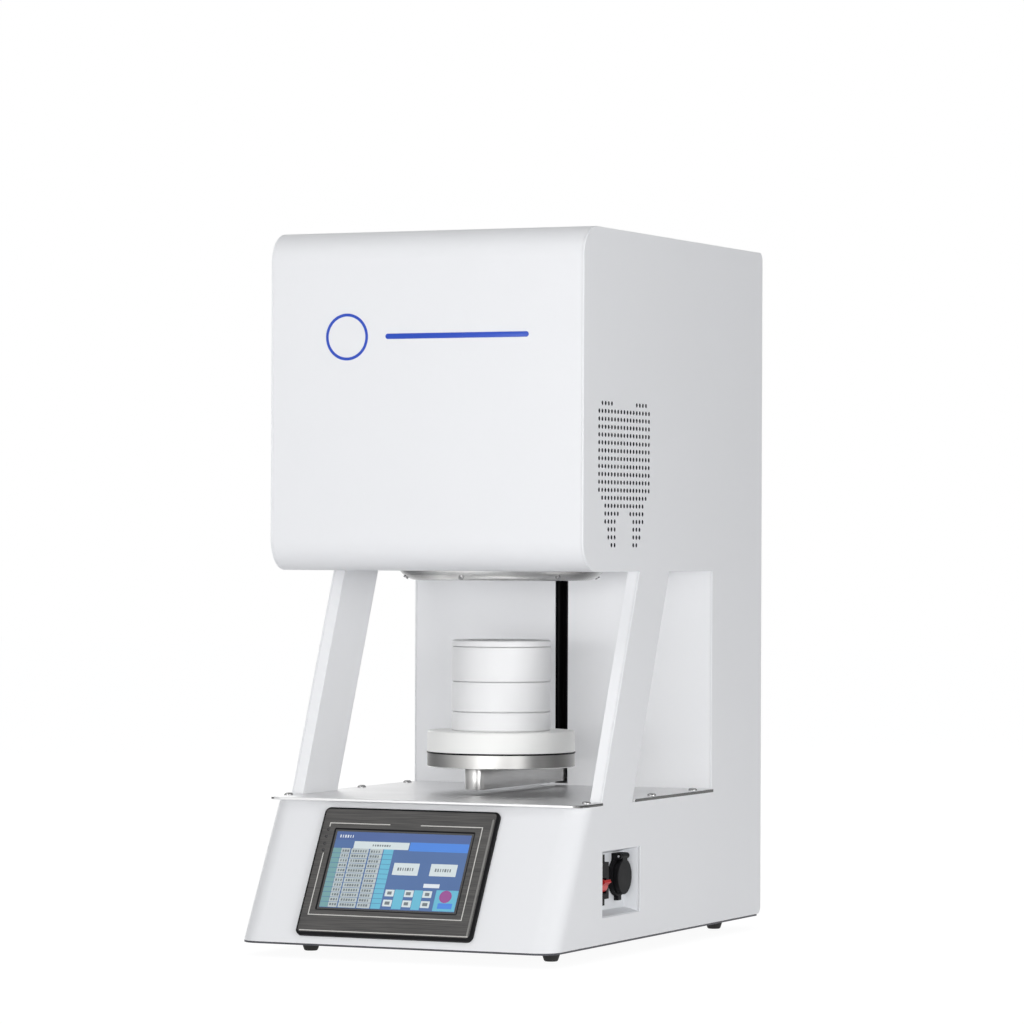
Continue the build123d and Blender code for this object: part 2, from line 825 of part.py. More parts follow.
# Bearing blocks across the channel, bored for the screw's bearings
upper_block_top = channel_top - upper_block_drop
lower_block_low = lower_block_top - block_height
upper_block_low = upper_block_top - block_height
block_centre_y = channel_back - channel_wall - block_depth / 2
screw_clear_radius = screw_radius + seat_gap
for block_name, low, seat_low in (
    ("lower_bearing_block", lower_block_low, lower_block_top - bearing_height),
    ("upper_bearing_block", upper_block_low, upper_block_low),
):
    with BuildPart() as bearing_block:
        with BuildSketch(Plane.XY.offset(low)):
            with Locations((0, block_centre_y)):
                Rectangle(2 * channel_inner, block_depth)
            with Locations((0, screw_y)):
                Circle(screw_clear_radius, mode=Mode.SUBTRACT)
        extrude(amount=block_height)
        with BuildSketch(Plane.XY.offset(seat_low)):
            with Locations((0, screw_y)):
                Circle(bearing_radius)
        extrude(amount=bearing_height, mode=Mode.SUBTRACT)
    bearing_block.part.label = block_name
    export_step(bearing_block.part, f"parts/{block_name}.step")

with BuildPart() as screw_bearings:
    for level in (lower_block_top - bearing_height, upper_block_low):
        with BuildSketch(Plane(origin=(0, screw_y, level))):
            Circle(bearing_radius)
            Circle(screw_radius + screw_fit, mode=Mode.SUBTRACT)
        extrude(amount=bearing_height)
screw_bearings.part.label = "screw_bearings"
export_step(screw_bearings.part, "parts/screw_bearings.step")

with BuildPart() as guide_rods:
    with BuildSketch(Plane(origin=(0, screw_y, lower_block_top))):
        with GridLocations(rod_spacing, 1, 2, 1):
            Circle(rod_radius)
    extrude(amount=upper_block_low - lower_block_top)
guide_rods.part.label = "guide_rods"
export_step(guide_rods.part, "parts/guide_rods.step")

# Motor at the foot of the channel, on four short legs, and the coupling to the screw
motor_low = base_bottom + motor_gap
motor_top = motor_low + motor_height
coupling_low = motor_top + coupling_gap
shaft_low = motor_top - motor_shaft_in
with BuildPart() as lift_motor:
    with BuildSketch(Plane(origin=(0, screw_y, motor_low))):
        RectangleRounded(motor_size, motor_size, motor_corner)
    extrude(amount=motor_height)
    with BuildSketch(Plane(origin=(0, screw_y, base_bottom))):
        with GridLocations(motor_size - 4 * motor_corner, motor_size - 4 * motor_corner, 2, 2):
            Circle(motor_foot_radius)
    extrude(amount=motor_gap)
    with BuildSketch(Plane(origin=(0, screw_y, shaft_low))):
        Circle(motor_shaft_radius + screw_fit)
    extrude(amount=motor_shaft_in, mode=Mode.SUBTRACT)
lift_motor.part.label = "lift_motor"
export_step(lift_motor.part, "parts/lift_motor.step")

with BuildPart() as motor_shaft:
    with BuildSketch(Plane(origin=(0, screw_y, shaft_low + screw_fit))):
        Circle(motor_shaft_radius)
    extrude(amount=motor_shaft_in + motor_shaft_out - screw_fit)
motor_shaft.part.label = "motor_shaft"
export_step(motor_shaft.part, "parts/motor_shaft.step")

with BuildPart() as shaft_coupling:
    with BuildSketch(Plane(origin=(0, screw_y, coupling_low))):
        Circle(coupling_radius)
    extrude(amount=lower_block_low - coupling_gap - coupling_low)
    with BuildSketch(Plane(origin=(0, screw_y, coupling_low))):
        Circle(motor_shaft_radius)
    extrude(amount=motor_top + motor_shaft_out - coupling_low, mode=Mode.SUBTRACT)
shaft_coupling.part.label = "shaft_coupling"
export_step(shaft_coupling.part, "parts/shaft_coupling.step")

with BuildPart() as lead_screw:
    with BuildSketch(Plane(origin=(0, screw_y, lower_block_low - coupling_gap))):
        Circle(screw_radius)
    extrude(amount=upper_block_top - lower_block_low + coupling_gap)
lead_screw.part.label = "lead_screw"
export_step(lead_screw.part, "parts/lead_screw.step")

# Carriage on the two rods, carrying the nut and the arm's tongue
carriage_low = arm_top + carriage_rise - carriage_height
with BuildPart() as lift_carriage:
    with BuildSketch(Plane(origin=(0, screw_y, carriage_low))):
        Rectangle(carriage_width, carriage_depth)
        Circle(nut_radius, mode=Mode.SUBTRACT)
        with GridLocations(rod_spacing, 1, 2, 1):
            Circle(rod_radius + carriage_slide, mode=Mode.SUBTRACT)
    extrude(amount=carriage_height)
lift_carriage.part.label = "lift_carriage"
export_step(lift_carriage.part, "parts/lift_carriage.step")

with BuildPart() as lift_nut:
    with BuildSketch(Plane(origin=(0, screw_y, carriage_low))):
        Circle(nut_radius)
    extrude(amount=nut_length)
    with BuildSketch(Plane(origin=(0, screw_y, carriage_low))):
        Circle(nut_flange_radius)
    extrude(amount=-nut_flange)
    with BuildSketch(Plane(origin=(0, screw_y, carriage_low - nut_flange))):
        Circle(screw_radius + screw_fit)
    extrude(amount=nut_length + nut_flange, mode=Mode.SUBTRACT)
lift_nut.part.label = "lift_nut"
export_step(lift_nut.part, "parts/lift_nut.step")

# Recess pocket: pressed tub behind the opening in the right side plate
recess_plane = Plane(origin=(half_width, recess_y, recess_z), x_dir=(0, 1, 0), z_dir=(1, 0, 0))
pocket_floor = recess_plane.offset(-recess_depth)


def pocket_tub(wall):
    """The recess as a tapered solid, larger by wall all round and behind."""
    with BuildPart() as tub:
        with BuildSketch(recess_plane):
            Rectangle(recess_length + 2 * wall, recess_height + 2 * wall)
        with BuildSketch(pocket_floor.offset(-wall)):
            Rectangle(
                recess_length - 2 * recess_inset + 2 * wall,
                recess_height - 2 * recess_inset + 2 * wall,
            )
        loft()
    return tub.part


breaker_y = housing_front + breaker_setback
breaker_z = recess_z - recess_height / 2 + breaker_rise
inlet_y = housing_front + inlet_setback
inlet_z = recess_z - recess_height / 2 + inlet_rise
breaker_plane = Plane(
    origin=(half_width - recess_depth, breaker_y, breaker_z), x_dir=(0, 1, 0), z_dir=(1, 0, 0)
)
inlet_plane = Plane(
    origin=(half_width - recess_depth, inlet_y, inlet_z), x_dir=(0, 1, 0), z_dir=(1, 0, 0)
)
tub_outside = pocket_tub(recess_wall)
tub_inside = pocket_tub(0)
with BuildPart() as recess_pocket:
    add(tub_outside)
    with BuildSketch(recess_plane.offset(-side_sheet)):
        Rectangle(recess_length + 2 * recess_rim, recess_height + 2 * recess_rim)
    extrude(amount=-recess_wall)
    with BuildSketch(recess_plane):
        Rectangle(recess_length + 2 * recess_rim, recess_height + 2 * recess_rim)
    extrude(amount=-side_sheet, mode=Mode.SUBTRACT)
    add(tub_inside, mode=Mode.SUBTRACT)
    with BuildSketch(breaker_plane):
        Rectangle(breaker_width, breaker_nose_height)
    extrude(amount=-2 * recess_wall, mode=Mode.SUBTRACT)
    with BuildSketch(inlet_plane):
        Circle(inlet_barrel_radius)
    extrude(amount=-2 * recess_wall, mode=Mode.SUBTRACT)
recess_pocket.part.label = "recess_pocket"
export_step(recess_pocket.part, "parts/recess_pocket.step")

# Breaker: body through the pocket's floor, with a slot for the toggle's drum
toggle_pivot = breaker_plane.from_local_coords((0, -toggle_drop, breaker_front))
with BuildPart() as breaker_body:
    with BuildSketch(breaker_plane):
        Rectangle(breaker_width, breaker_height)
    extrude(amount=breaker_front)
    with BuildSketch(breaker_plane):
        Rectangle(breaker_width, breaker_nose_height)
    extrude(amount=breaker_nose)
    with BuildSketch(breaker_plane):
        Rectangle(breaker_width, breaker_nose_height)
    extrude(amount=-breaker_depth)
    slot_half = toggle_drum + toggle_clearance
    with BuildSketch(breaker_plane.offset(breaker_front)):
        with Locations((0, -toggle_drop)):
            Rectangle(toggle_width + 2 * toggle_clearance, 2 * slot_half)
    extrude(amount=breaker_nose, both=True, mode=Mode.SUBTRACT)
breaker_body.part.label = "breaker_body"
export_step(breaker_body.part, "parts/breaker_body.step")

toggle_section = Plane(
    origin=toggle_pivot - Vector(0, toggle_width / 2, 0), x_dir=(1, 0, 0), z_dir=(0, -1, 0)
)
with BuildPart() as breaker_toggle:
    with BuildSketch(toggle_section):
        Circle(toggle_drum - toggle_clearance)
        with BuildLine(Plane.XY.rotated((0, 0, toggle_tilt))):
            Polyline(
                (0, -toggle_root / 2),
                (toggle_reach, -toggle_tip / 2),
                (toggle_reach, toggle_tip / 2),
                (0, toggle_root / 2),
                close=True,
            )
        make_face()
    extrude(amount=-toggle_width)
breaker_toggle.part.label = "breaker_toggle"
export_step(breaker_toggle.part, "parts/breaker_toggle.step")

# Inlet: flanged barrel with three pins in its socket, ears for the lid's hinge
hinge_centre = inlet_plane.from_local_coords((0, lid_hinge_rise, inlet_flange + lid_gap + lid_thickness / 2))
ear_reach = lid_knuckle_length / 2 + toggle_clearance + lid_ear_length
hinge_top = lid_hinge_rise + lid_knuckle_radius
with BuildPart() as inlet_body:
    with BuildSketch(inlet_plane):
        Circle(inlet_radius)
        with Locations((0, -inlet_radius)):
            Rectangle(2 * inlet_tab, 2 * inlet_tab)
        with Locations((0, hinge_top / 2)):
            Rectangle(2 * ear_reach, hinge_top)
    extrude(amount=inlet_flange)
    with BuildSketch(inlet_plane):
        Circle(inlet_barrel_radius)
    extrude(amount=-inlet_depth)
    with BuildSketch(inlet_plane.offset(inlet_flange)):
        Circle(inlet_socket_radius)
    extrude(amount=-inlet_socket_depth, mode=Mode.SUBTRACT)
    for ear in (-1, 1):
        ear_start = ear * (lid_knuckle_length / 2 + toggle_clearance)
        with BuildSketch(Plane(origin=hinge_centre + Vector(0, ear_start, 0), z_dir=(0, ear, 0))):
            Circle(lid_knuckle_radius)
        extrude(amount=lid_ear_length)
        with BuildSketch(inlet_plane):
            with Locations((ear_start + ear * lid_ear_length / 2, lid_hinge_rise)):
                Rectangle(lid_ear_length, 2 * lid_knuckle_radius)
        extrude(amount=inlet_flange + lid_gap + lid_thickness / 2)
        with BuildSketch(Plane(origin=hinge_centre + Vector(0, ear_start, 0), z_dir=(0, ear, 0))):
            Circle(lid_pin_radius)
        extrude(amount=lid_ear_length, mode=Mode.SUBTRACT)
inlet_body.part.label = "inlet_body"
export_step(inlet_body.part, "parts/inlet_body.step")

with BuildPart() as inlet_pins:
    with BuildSketch(inlet_plane.offset(inlet_flange - inlet_socket_depth)):
        with PolarLocations(pin_circle, 3, start_angle=90):
            Circle(pin_radius)
    extrude(amount=pin_length)
inlet_pins.part.label = "inlet_pins"
export_step(inlet_pins.part, "parts/inlet_pins.step")

hinge_plane = Plane(origin=hinge_centre, z_dir=(0, 1, 0))
with BuildPart() as inlet_hinge_pin:
    with BuildSketch(hinge_plane):
        Circle(lid_pin_radius)
    extrude(amount=ear_reach, both=True)
inlet_hinge_pin.part.label = "inlet_hinge_pin"
export_step(inlet_hinge_pin.part, "parts/inlet_hinge_pin.step")

with BuildPart() as inlet_lid:
    lid_base = inlet_plane.offset(inlet_flange + lid_gap)
    with BuildSketch(lid_base):
        Circle(lid_radius)
        with Locations((0, lid_hinge_rise / 2)):
            Rectangle(lid_knuckle_length, lid_hinge_rise)
    extrude(amount=lid_thickness)
    fillet(faces().sort_by(Axis.X)[-1].edges().filter_by(GeomType.CIRCLE), lid_edge_radius)
    with BuildSketch(hinge_plane):
        Circle(lid_knuckle_radius)
    extrude(amount=lid_knuckle_length / 2, both=True)
    with BuildSketch(hinge_plane):
        Circle(lid_pin_radius + lid_pin_fit)
    extrude(amount=lid_knuckle_length / 2, both=True, mode=Mode.SUBTRACT)
inlet_lid.part.label = "inlet_lid"
export_step(inlet_lid.part, "parts/inlet_lid.step")

# Electronics on the pan
transformer_x = inner_half - transformer_gap - transformer_radius
transformer_plane = Plane(origin=(transformer_x, transformer_y, base_bottom))
with BuildPart() as power_transformer:
    with BuildSketch(transformer_plane):
        Circle(transformer_radius)
        Circle(transformer_hole, mode=Mode.SUBTRACT)
    extrude(amount=transformer_height)
    fillet(edges().group_by(Axis.Z)[-1], transformer_height / 5)
power_transformer.part.label = "power_transformer"
export_step(power_transformer.part, "parts/power_transformer.step")

board_x = board_gap + board_size[0] / 2 - inner_half
board_plane = Plane(origin=(board_x, board_y, base_bottom))
board_posts_apart = [size - 2 * board_post_inset for size in board_size]
with BuildPart() as board_standoffs:
    with BuildSketch(board_plane):
        with GridLocations(*board_posts_apart, 2, 2):
            Circle(board_post_radius)
    extrude(amount=board_post_height)
board_standoffs.part.label = "board_standoffs"
export_step(board_standoffs.part, "parts/board_standoffs.step")

with BuildPart() as control_board:
    with BuildSketch(board_plane.offset(board_post_height)):
        Rectangle(*board_size)
    extrude(amount=board_thickness)
    with BuildSketch(board_plane.offset(board_post_height + board_thickness)):
        with GridLocations(board_size[0] / 4, board_size[1] / 3, 3, 2):
            Rectangle(board_size[0] / 6, board_size[1] / 5)
    extrude(amount=chip_height)
control_board.part.label = "control_board"
export_step(control_board.part, "parts/control_board.step")

relay_x = relay_gap + relay_size[0] / 2 - inner_half
relay_plane = Plane(origin=(relay_x, relay_y, base_bottom))
fin_pitch = (relay_size[0] - relay_fin_thickness) / (relay_fin_count - 1)
with BuildPart() as relay_heat_sink:
    with BuildSketch(relay_plane):
        Rectangle(*relay_size)
    extrude(amount=relay_base)
    with BuildSketch(relay_plane.offset(relay_base)):
        with GridLocations(fin_pitch, 1, relay_fin_count, 1):
            Rectangle(relay_fin_thickness, relay_size[1])
    extrude(amount=relay_fin_height)
relay_heat_sink.part.label = "relay_heat_sink"
export_step(relay_heat_sink.part, "parts/relay_heat_sink.step")
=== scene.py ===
"""Dental sintering furnace: dressed pieces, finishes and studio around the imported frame. Metres, +Z up."""

import functools
import logging
import math
from dataclasses import dataclass
from enum import Enum
from typing import Callable, ClassVar, Optional, Sequence

import bmesh
import bpy
from mathutils import Matrix, Vector


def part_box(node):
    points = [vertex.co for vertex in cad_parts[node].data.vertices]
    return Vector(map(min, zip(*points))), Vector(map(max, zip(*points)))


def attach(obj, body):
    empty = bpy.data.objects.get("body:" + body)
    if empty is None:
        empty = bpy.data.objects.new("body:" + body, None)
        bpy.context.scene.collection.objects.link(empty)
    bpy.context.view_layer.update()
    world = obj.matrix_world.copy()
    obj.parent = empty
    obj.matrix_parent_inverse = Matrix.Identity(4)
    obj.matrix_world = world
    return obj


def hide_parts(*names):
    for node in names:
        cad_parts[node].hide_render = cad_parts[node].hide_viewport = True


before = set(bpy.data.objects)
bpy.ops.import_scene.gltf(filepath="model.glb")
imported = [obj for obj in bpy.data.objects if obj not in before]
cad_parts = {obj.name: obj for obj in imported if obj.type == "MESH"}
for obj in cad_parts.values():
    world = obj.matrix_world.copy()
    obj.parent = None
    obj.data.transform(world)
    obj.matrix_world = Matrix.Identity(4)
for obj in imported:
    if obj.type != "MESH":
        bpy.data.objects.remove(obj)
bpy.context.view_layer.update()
log = logging.getLogger("furnace")

Point2 = tuple[float, float]
Point3 = tuple[float, float, float]
Box2 = tuple[float, float, float, float]
Colour = tuple[float, float, float]
Shade = tuple[float, float, float, float]
EdgeTest = Callable[[Vector, Vector], bool]
Mesh = bmesh.types.BMesh
Piece = bpy.types.Object
Tree = bpy.types.NodeTree
Socket = bpy.types.NodeSocket

WELD = 0.000002  # Points nearer to each other than this are one.
FLAT = math.radians(0.4)  # Faces that turn by less are joined.
SHARP = math.radians(32)  # Edges that turn by more are rounded and creased.
TURN = 2 * math.pi
QUARTER = math.pi / 2
MM = 1000  # Millimetres in a metre.
ROUND_STEPS = 2  # Faces across a rounding.
FINE_DETAIL = 3.0  # Detail of the noise in the fine grain.
# The painted sheen on turned metal: pale and dark lobes round the axis that stand in for reflections.
PAINTED_SHEEN_CONTRAST = 1.6  # Power that narrows the pale parts of a sweep.
WHITE: Shade = (1.0, 1.0, 1.0, 1.0)

FLOAT, INTEGER, VECTOR = "NodeSocketFloat", "NodeSocketInt", "NodeSocketVector"
GEOMETRY, OBJECT, MATERIAL = "NodeSocketGeometry", "NodeSocketObject", "NodeSocketMaterial"


class Body(str, Enum):
    """The bodies that the pieces ride on."""

    CABINET = "cabinet"
    LIFT = "lift"
    SCREW = "drive_screw"
    MIDDLE = "middle_tray"
    UPPER = "upper_tray"
    LID = "tray_lid"
    TOGGLE = "toggle"
    FLAP = "inlet_flap"


class Grain(Enum):
    """How the fine pattern of a finish lies on the piece."""

    EVEN = "even"
    BRUSHED_X = "brushed_x"
    BRUSHED_Y = "brushed_y"
    TURNED = "turned"


GRAIN_STRETCH: dict[Grain, Point3] = {
    Grain.EVEN: (1.0, 1.0, 1.0),
    Grain.BRUSHED_X: (0.02, 1.0, 1.0),
    Grain.BRUSHED_Y: (1.0, 0.02, 1.0),
}


class Weave:
    """Adds nodes to one tree and feeds their inputs."""

    def __init__(self, tree: Tree) -> None:
        """Takes the tree that the nodes go into."""
        self.tree = tree

    @classmethod
    def cleared(cls, holder: bpy.types.ID) -> "Weave":
        """Empties the node tree of a new material or world and returns its weave."""
        holder.use_nodes = True
        holder.node_tree.nodes.clear()
        return cls(holder.node_tree)

    def feed(self, target: Socket, value: object) -> None:
        """Feeds an input.

        Args:
            target: The input.
            value: A socket, a node for its first output, or a plain value.
        """
        if isinstance(value, bpy.types.Node):
            value = value.outputs[0]
        if isinstance(value, bpy.types.NodeSocket):
            self.tree.links.new(value, target)
        else:
            target.default_value = value

    def add(self, kind: str, feeds: Optional[dict] = None, **settings: object) -> bpy.types.Node:
        """Adds a node.

        Args:
            kind: The node's type name.
            feeds: What feeds its inputs, by their names or numbers.
            settings: Attributes of the node, set before the inputs are fed.

        Returns:
            The new node.
        """
        node = self.tree.nodes.new(kind)
        for key, value in settings.items():
            setattr(node, key, value)
        for key, value in (feeds or {}).items():
            self.feed(node.inputs[key], value)
        return node

    def math(self, operation: str, a: object, b: object = 0.0) -> Socket:
        """Adds a math node on sockets or numbers and returns its result."""
        return self.add("ShaderNodeMath", {0: a, 1: b}, operation=operation).outputs[0]

    def noise(self, vector: object, scale: Socket, detail: float = 2.0) -> Socket:
        """Adds a noise texture and returns its value from 0 to 1."""
        feeds = {"Vector": vector, "Scale": scale, "Detail": detail}
        return self.add("ShaderNodeTexNoise", feeds).outputs["Fac"]

    def copies(self, points: object, form: object, **placing: object) -> bpy.types.Node:
        """Puts a form on each point, as real geometry.

        Args:
            points: The points.
            form: The form's geometry.
            placing: What feeds Rotation and Scale.

        Returns:
            The node whose first output is the geometry.
        """
        placed = self.add("GeometryNodeInstanceOnPoints", {"Points": points, "Instance": form, **placing})
        return self.add("GeometryNodeRealizeInstances", {"Geometry": placed})

    def coated(self, geometry: object, finish: Socket) -> bpy.types.Node:
        """Gives a geometry a material."""
        return self.add("GeometryNodeSetMaterial", {"Geometry": geometry, "Material": finish})


def node_group(
    name: str, kind: str, inputs: Sequence[tuple[str, str, object]], outputs: Sequence[tuple[str, str]]
) -> Callable:
    """Makes a function that fills a tree into one that returns the named group, built once.

    Args:
        name: The group's name.
        kind: The tree's type name.
        inputs: Name, socket type and starting value of each input; None leaves the value.
        outputs: Name and socket type of each output.

    Returns:
        The decorator of the filling function, which takes the weave, the group's inputs and its outputs.
    """
    def decorate(fill: Callable) -> Callable[[], Tree]:
        @functools.wraps(fill)
        def group() -> Tree:
            known = bpy.data.node_groups.get(name)
            if known:
                return known
            tree = bpy.data.node_groups.new(name, kind)
            for title, socket_kind, value in inputs:
                socket = tree.interface.new_socket(name=title, in_out="INPUT", socket_type=socket_kind)
                if value is not None:
                    socket.default_value = value
            for title, socket_kind in outputs:
                tree.interface.new_socket(name=title, in_out="OUTPUT", socket_type=socket_kind)
            weave = Weave(tree)
            fill(weave, weave.add("NodeGroupInput").outputs, weave.add("NodeGroupOutput").inputs)
            return tree
        return group
    return decorate


@node_group(
    "surface_pattern", "ShaderNodeTree",
    [("Stretch", VECTOR, (1.0, 1.0, 1.0)), ("Fine Scale", FLOAT, 900.0), ("Broad Scale", FLOAT, 9.0)],
    [("Fine", FLOAT), ("Broad", FLOAT)],
)
def surface_pattern(weave: Weave, given: Sequence[Socket], made: Sequence[Socket]) -> None:
    """Group: fine grain and broad mottling of a surface from 0 to 1, from Object coordinates."""
    place = weave.add("ShaderNodeTexCoord").outputs["Object"]
    stretched = weave.add("ShaderNodeVectorMath", {0: place, 1: given["Stretch"]}, operation="MULTIPLY")
    weave.feed(made["Fine"], weave.noise(stretched, given["Fine Scale"], FINE_DETAIL))
    weave.feed(made["Broad"], weave.noise(place, given["Broad Scale"]))


@node_group(
    "turned_pattern", "ShaderNodeTree",
    [("Centre", VECTOR, (0.0, 0.0, 0.0)), ("Fine Scale", FLOAT, 900.0), ("Broad Scale", FLOAT, 9.0),
     ("Sweep Turn", FLOAT, 0.0), ("Sweep Count", FLOAT, 3.0)],
    [("Fine", FLOAT), ("Broad", FLOAT), ("Sweep", FLOAT)],
)
def turned_pattern(weave: Weave, given: Sequence[Socket], made: Sequence[Socket]) -> None:
    """Group: rings round an upright axis, as a lathe leaves them, and a painted sheen round the turn: pale
    and dark lobes by angle that stand in for reflections.
    """
    place = weave.add("ShaderNodeTexCoord").outputs["Object"]
    offset = weave.add("ShaderNodeVectorMath", {0: place, 1: given["Centre"]}, operation="SUBTRACT")
    parts = weave.add("ShaderNodeSeparateXYZ", {0: offset}).outputs
    squares = [weave.math("MULTIPLY", parts[axis], parts[axis]) for axis in ("X", "Y")]
    # Painted sheen: a shade that rises and falls with the angle round the axis, in place of reflections.
    turn = weave.math("SUBTRACT", weave.math("ARCTAN2", parts["Y"], parts["X"]), given["Sweep Turn"])
    wave = weave.math("COSINE", weave.math("MULTIPLY", turn, given["Sweep Count"]))
    shade = weave.math("MULTIPLY", weave.math("SUBTRACT", 1.0, wave), 0.5)
    weave.feed(made["Sweep"], weave.math("POWER", shade, PAINTED_SHEEN_CONTRAST))
    reach = weave.math("SQRT", weave.math("ADD", *squares))
    rings = weave.add("ShaderNodeCombineXYZ", {"X": reach, "Z": parts["Z"]})
    weave.feed(made["Fine"], weave.noise(rings, given["Fine Scale"]))
    weave.feed(made["Broad"], weave.noise(place, given["Broad Scale"]))


@dataclass(frozen=True)
class Finish:
    """A surface finish: two tones, a gloss with its variation, and a fine relief.

    Attributes:
        name: The material's name.
        tone: The main colour, linear.
        deep: The colour that the mottling leans to, linear.
        rough: Roughness between its least and its most.
        metal: Metallic, 0 or 1.
        grain: How the fine pattern lies.
        fine: Fine pattern's scale, per metre.
        broad: Mottling's scale, per metre.
        relief: Height of the fine pattern in metres.
        lean: Share of the deep tone that mottling reaches.
        speckle: Share of the deep tone that the fine pattern reaches.
        coat: Clear coat's weight.
        specular: Specular level.
        centre: Axis of a turned pattern.
        sweep: Share of the deep tone that the painted sheen round a turned piece reaches; its dark lobes are
            painted reflection.
        sweep_turn: Direction from the axis in which the painted sheen is palest, in degrees.
        glow: Emission strength.
        COAT_ROUGHNESS: Roughness of every clear coat.
        PATTERN_SPAN: The pattern's values that the least and the most roughness belong to.
    """

    name: str
    tone: Colour
    deep: Colour
    rough: Point2
    metal: float = 0.0
    grain: Grain = Grain.EVEN
    fine: float = 900.0
    broad: float = 9.0
    relief: float = 0.00001
    lean: float = 0.5
    speckle: float = 0.2
    coat: float = 0.0
    specular: float = 0.5
    centre: Point3 = (0.0, 0.0, 0.0)
    sweep: float = 0.0
    sweep_turn: float = 0.0
    glow: float = 0.0

    COAT_ROUGHNESS: ClassVar[float] = 0.12
    PATTERN_SPAN: ClassVar[Point2] = (0.3, 0.7)

    def material(self) -> bpy.types.Material:
        """Builds the material once.

        Returns:
            The material of this name.
        """
        known = bpy.data.materials.get(self.name)
        if known:
            return known
        made = bpy.data.materials.new(self.name)
        weave = Weave.cleared(made)
        turned = self.grain is Grain.TURNED
        feeds = {"Fine Scale": self.fine, "Broad Scale": self.broad}
        if turned:
            feeds |= {"Centre": self.centre, "Sweep Turn": math.radians(self.sweep_turn)}
        else:
            feeds["Stretch"] = GRAIN_STRETCH[self.grain]
        group = turned_pattern() if turned else surface_pattern()
        pattern = weave.add("ShaderNodeGroup", feeds, node_tree=group).outputs
        mottling = weave.math("MULTIPLY", pattern["Broad"], self.lean)
        share = weave.math("ADD", mottling, weave.math("MULTIPLY", pattern["Fine"], self.speckle))
        # Turned finishes also darken towards the deep tone by the painted sheen.
        if turned:
            share = weave.math("ADD", share, weave.math("MULTIPLY", pattern["Sweep"], self.sweep))
        tones = {"Factor": share, "A": (*self.tone, 1.0), "B": (*self.deep, 1.0)}
        colour = weave.add("ShaderNodeMix", tones, data_type="RGBA", clamp_factor=True).outputs["Result"]
        both = weave.math("ADD", pattern["Fine"], pattern["Broad"])
        gloss = weave.add("ShaderNodeMapRange", {
            "Value": weave.math("MULTIPLY", both, 0.5),
            "From Min": self.PATTERN_SPAN[0], "From Max": self.PATTERN_SPAN[1],
            "To Min": self.rough[0], "To Max": self.rough[1],
        }).outputs["Result"]
        bumps = {"Strength": 1.0, "Distance": self.relief, "Height": pattern["Fine"]}
        shader = weave.add("ShaderNodeBsdfPrincipled", {
            "Base Color": colour, "Metallic": self.metal, "Roughness": gloss,
            "Normal": weave.add("ShaderNodeBump", bumps), "Specular IOR Level": self.specular,
            "Coat Weight": self.coat, "Coat Roughness": self.COAT_ROUGHNESS,
        })
        if self.glow:
            weave.feed(shader.inputs["Emission Color"], colour)
            weave.feed(shader.inputs["Emission Strength"], self.glow)
        weave.add("ShaderNodeOutputMaterial", {"Surface": shader})
        return made


FURNACE_AXIS = (0.0, -0.0185, 0.0)

POWDER_COAT = Finish("white_powder_coat", (0.855, 0.86, 0.875), (0.80, 0.805, 0.825), (0.34, 0.44),
                     fine=1100, broad=5, relief=0.000012, lean=0.35, speckle=0.1)
# The same white coat as outside, made paler for the column and strut covers to stand in for light that
# doesn't reach inside: painted light.
PALER_INNER_COAT = Finish("inner_powder_coat", (0.925, 0.93, 0.945), (0.875, 0.88, 0.895), (0.36, 0.48),
                    fine=1100, broad=7, relief=0.000012, lean=0.35, speckle=0.1)
BRUSHED_STEEL = Finish("brushed_steel", (0.84, 0.84, 0.845), (0.64, 0.64, 0.645), (0.30, 0.44), 1.0,
                       Grain.BRUSHED_X, fine=2600, broad=14, relief=0.000006, lean=0.35, speckle=0.5)
POLISHED_EDGE = Finish("polished_edge", (0.78, 0.78, 0.775), (0.60, 0.60, 0.60), (0.10, 0.20), 1.0,
                       fine=600, broad=30, relief=0.000002, lean=0.3, speckle=0.1)
# The plate's side edges: the same polished steel painted near-black, a painted dark reflection.
PAINTED_DARK_EDGE = Finish("polished_side_edge", (0.10, 0.10, 0.10), (0.045, 0.045, 0.045), (0.16, 0.26), 1.0,
                     fine=600, broad=30, relief=0.000002, lean=0.3, speckle=0.1)
# Hearth disc: the sweep darkens it towards a near-black deep tone in lobes round the axis, a painted
# reflection.
TURNED_STEEL = Finish("turned_steel", (0.69, 0.685, 0.67), (0.060, 0.060, 0.060), (0.38, 0.50), 1.0,
                      Grain.TURNED, fine=2200, broad=16, relief=0.000008, lean=0.10, speckle=0.22,
                      centre=FURNACE_AXIS, sweep=0.70, sweep_turn=-76.0)
# Mouth flange: a pale middle and near-black ends painted by the sweep round the axis, a painted highlight and
# painted reflection.
POLISHED_RING = Finish("polished_ring_steel", (0.95, 0.945, 0.935), (0.05, 0.05, 0.05), (0.20, 0.30), 1.0,
                       Grain.TURNED, fine=900, broad=20, relief=0.000003, lean=0.03, speckle=0.05,
                       centre=FURNACE_AXIS, sweep=0.85, sweep_turn=-70.0)
GROUND_BAR = Finish("ground_bar", (0.54, 0.535, 0.53), (0.38, 0.38, 0.375), (0.26, 0.38), 1.0,
                    Grain.BRUSHED_Y, fine=2400, broad=18, relief=0.000006, lean=0.3, speckle=0.5)
FLANGE_SCREW = Finish("flange_screw_steel", (0.46, 0.46, 0.465), (0.26, 0.26, 0.265), (0.20, 0.32), 1.0,
                      fine=3000, broad=200, relief=0.000004, lean=0.4, speckle=0.3)
SCREW_STEEL = Finish("screw_steel", (0.50, 0.50, 0.50), (0.25, 0.25, 0.25), (0.18, 0.32), 1.0,
                     fine=3000, broad=200, relief=0.000004, lean=0.4, speckle=0.3)
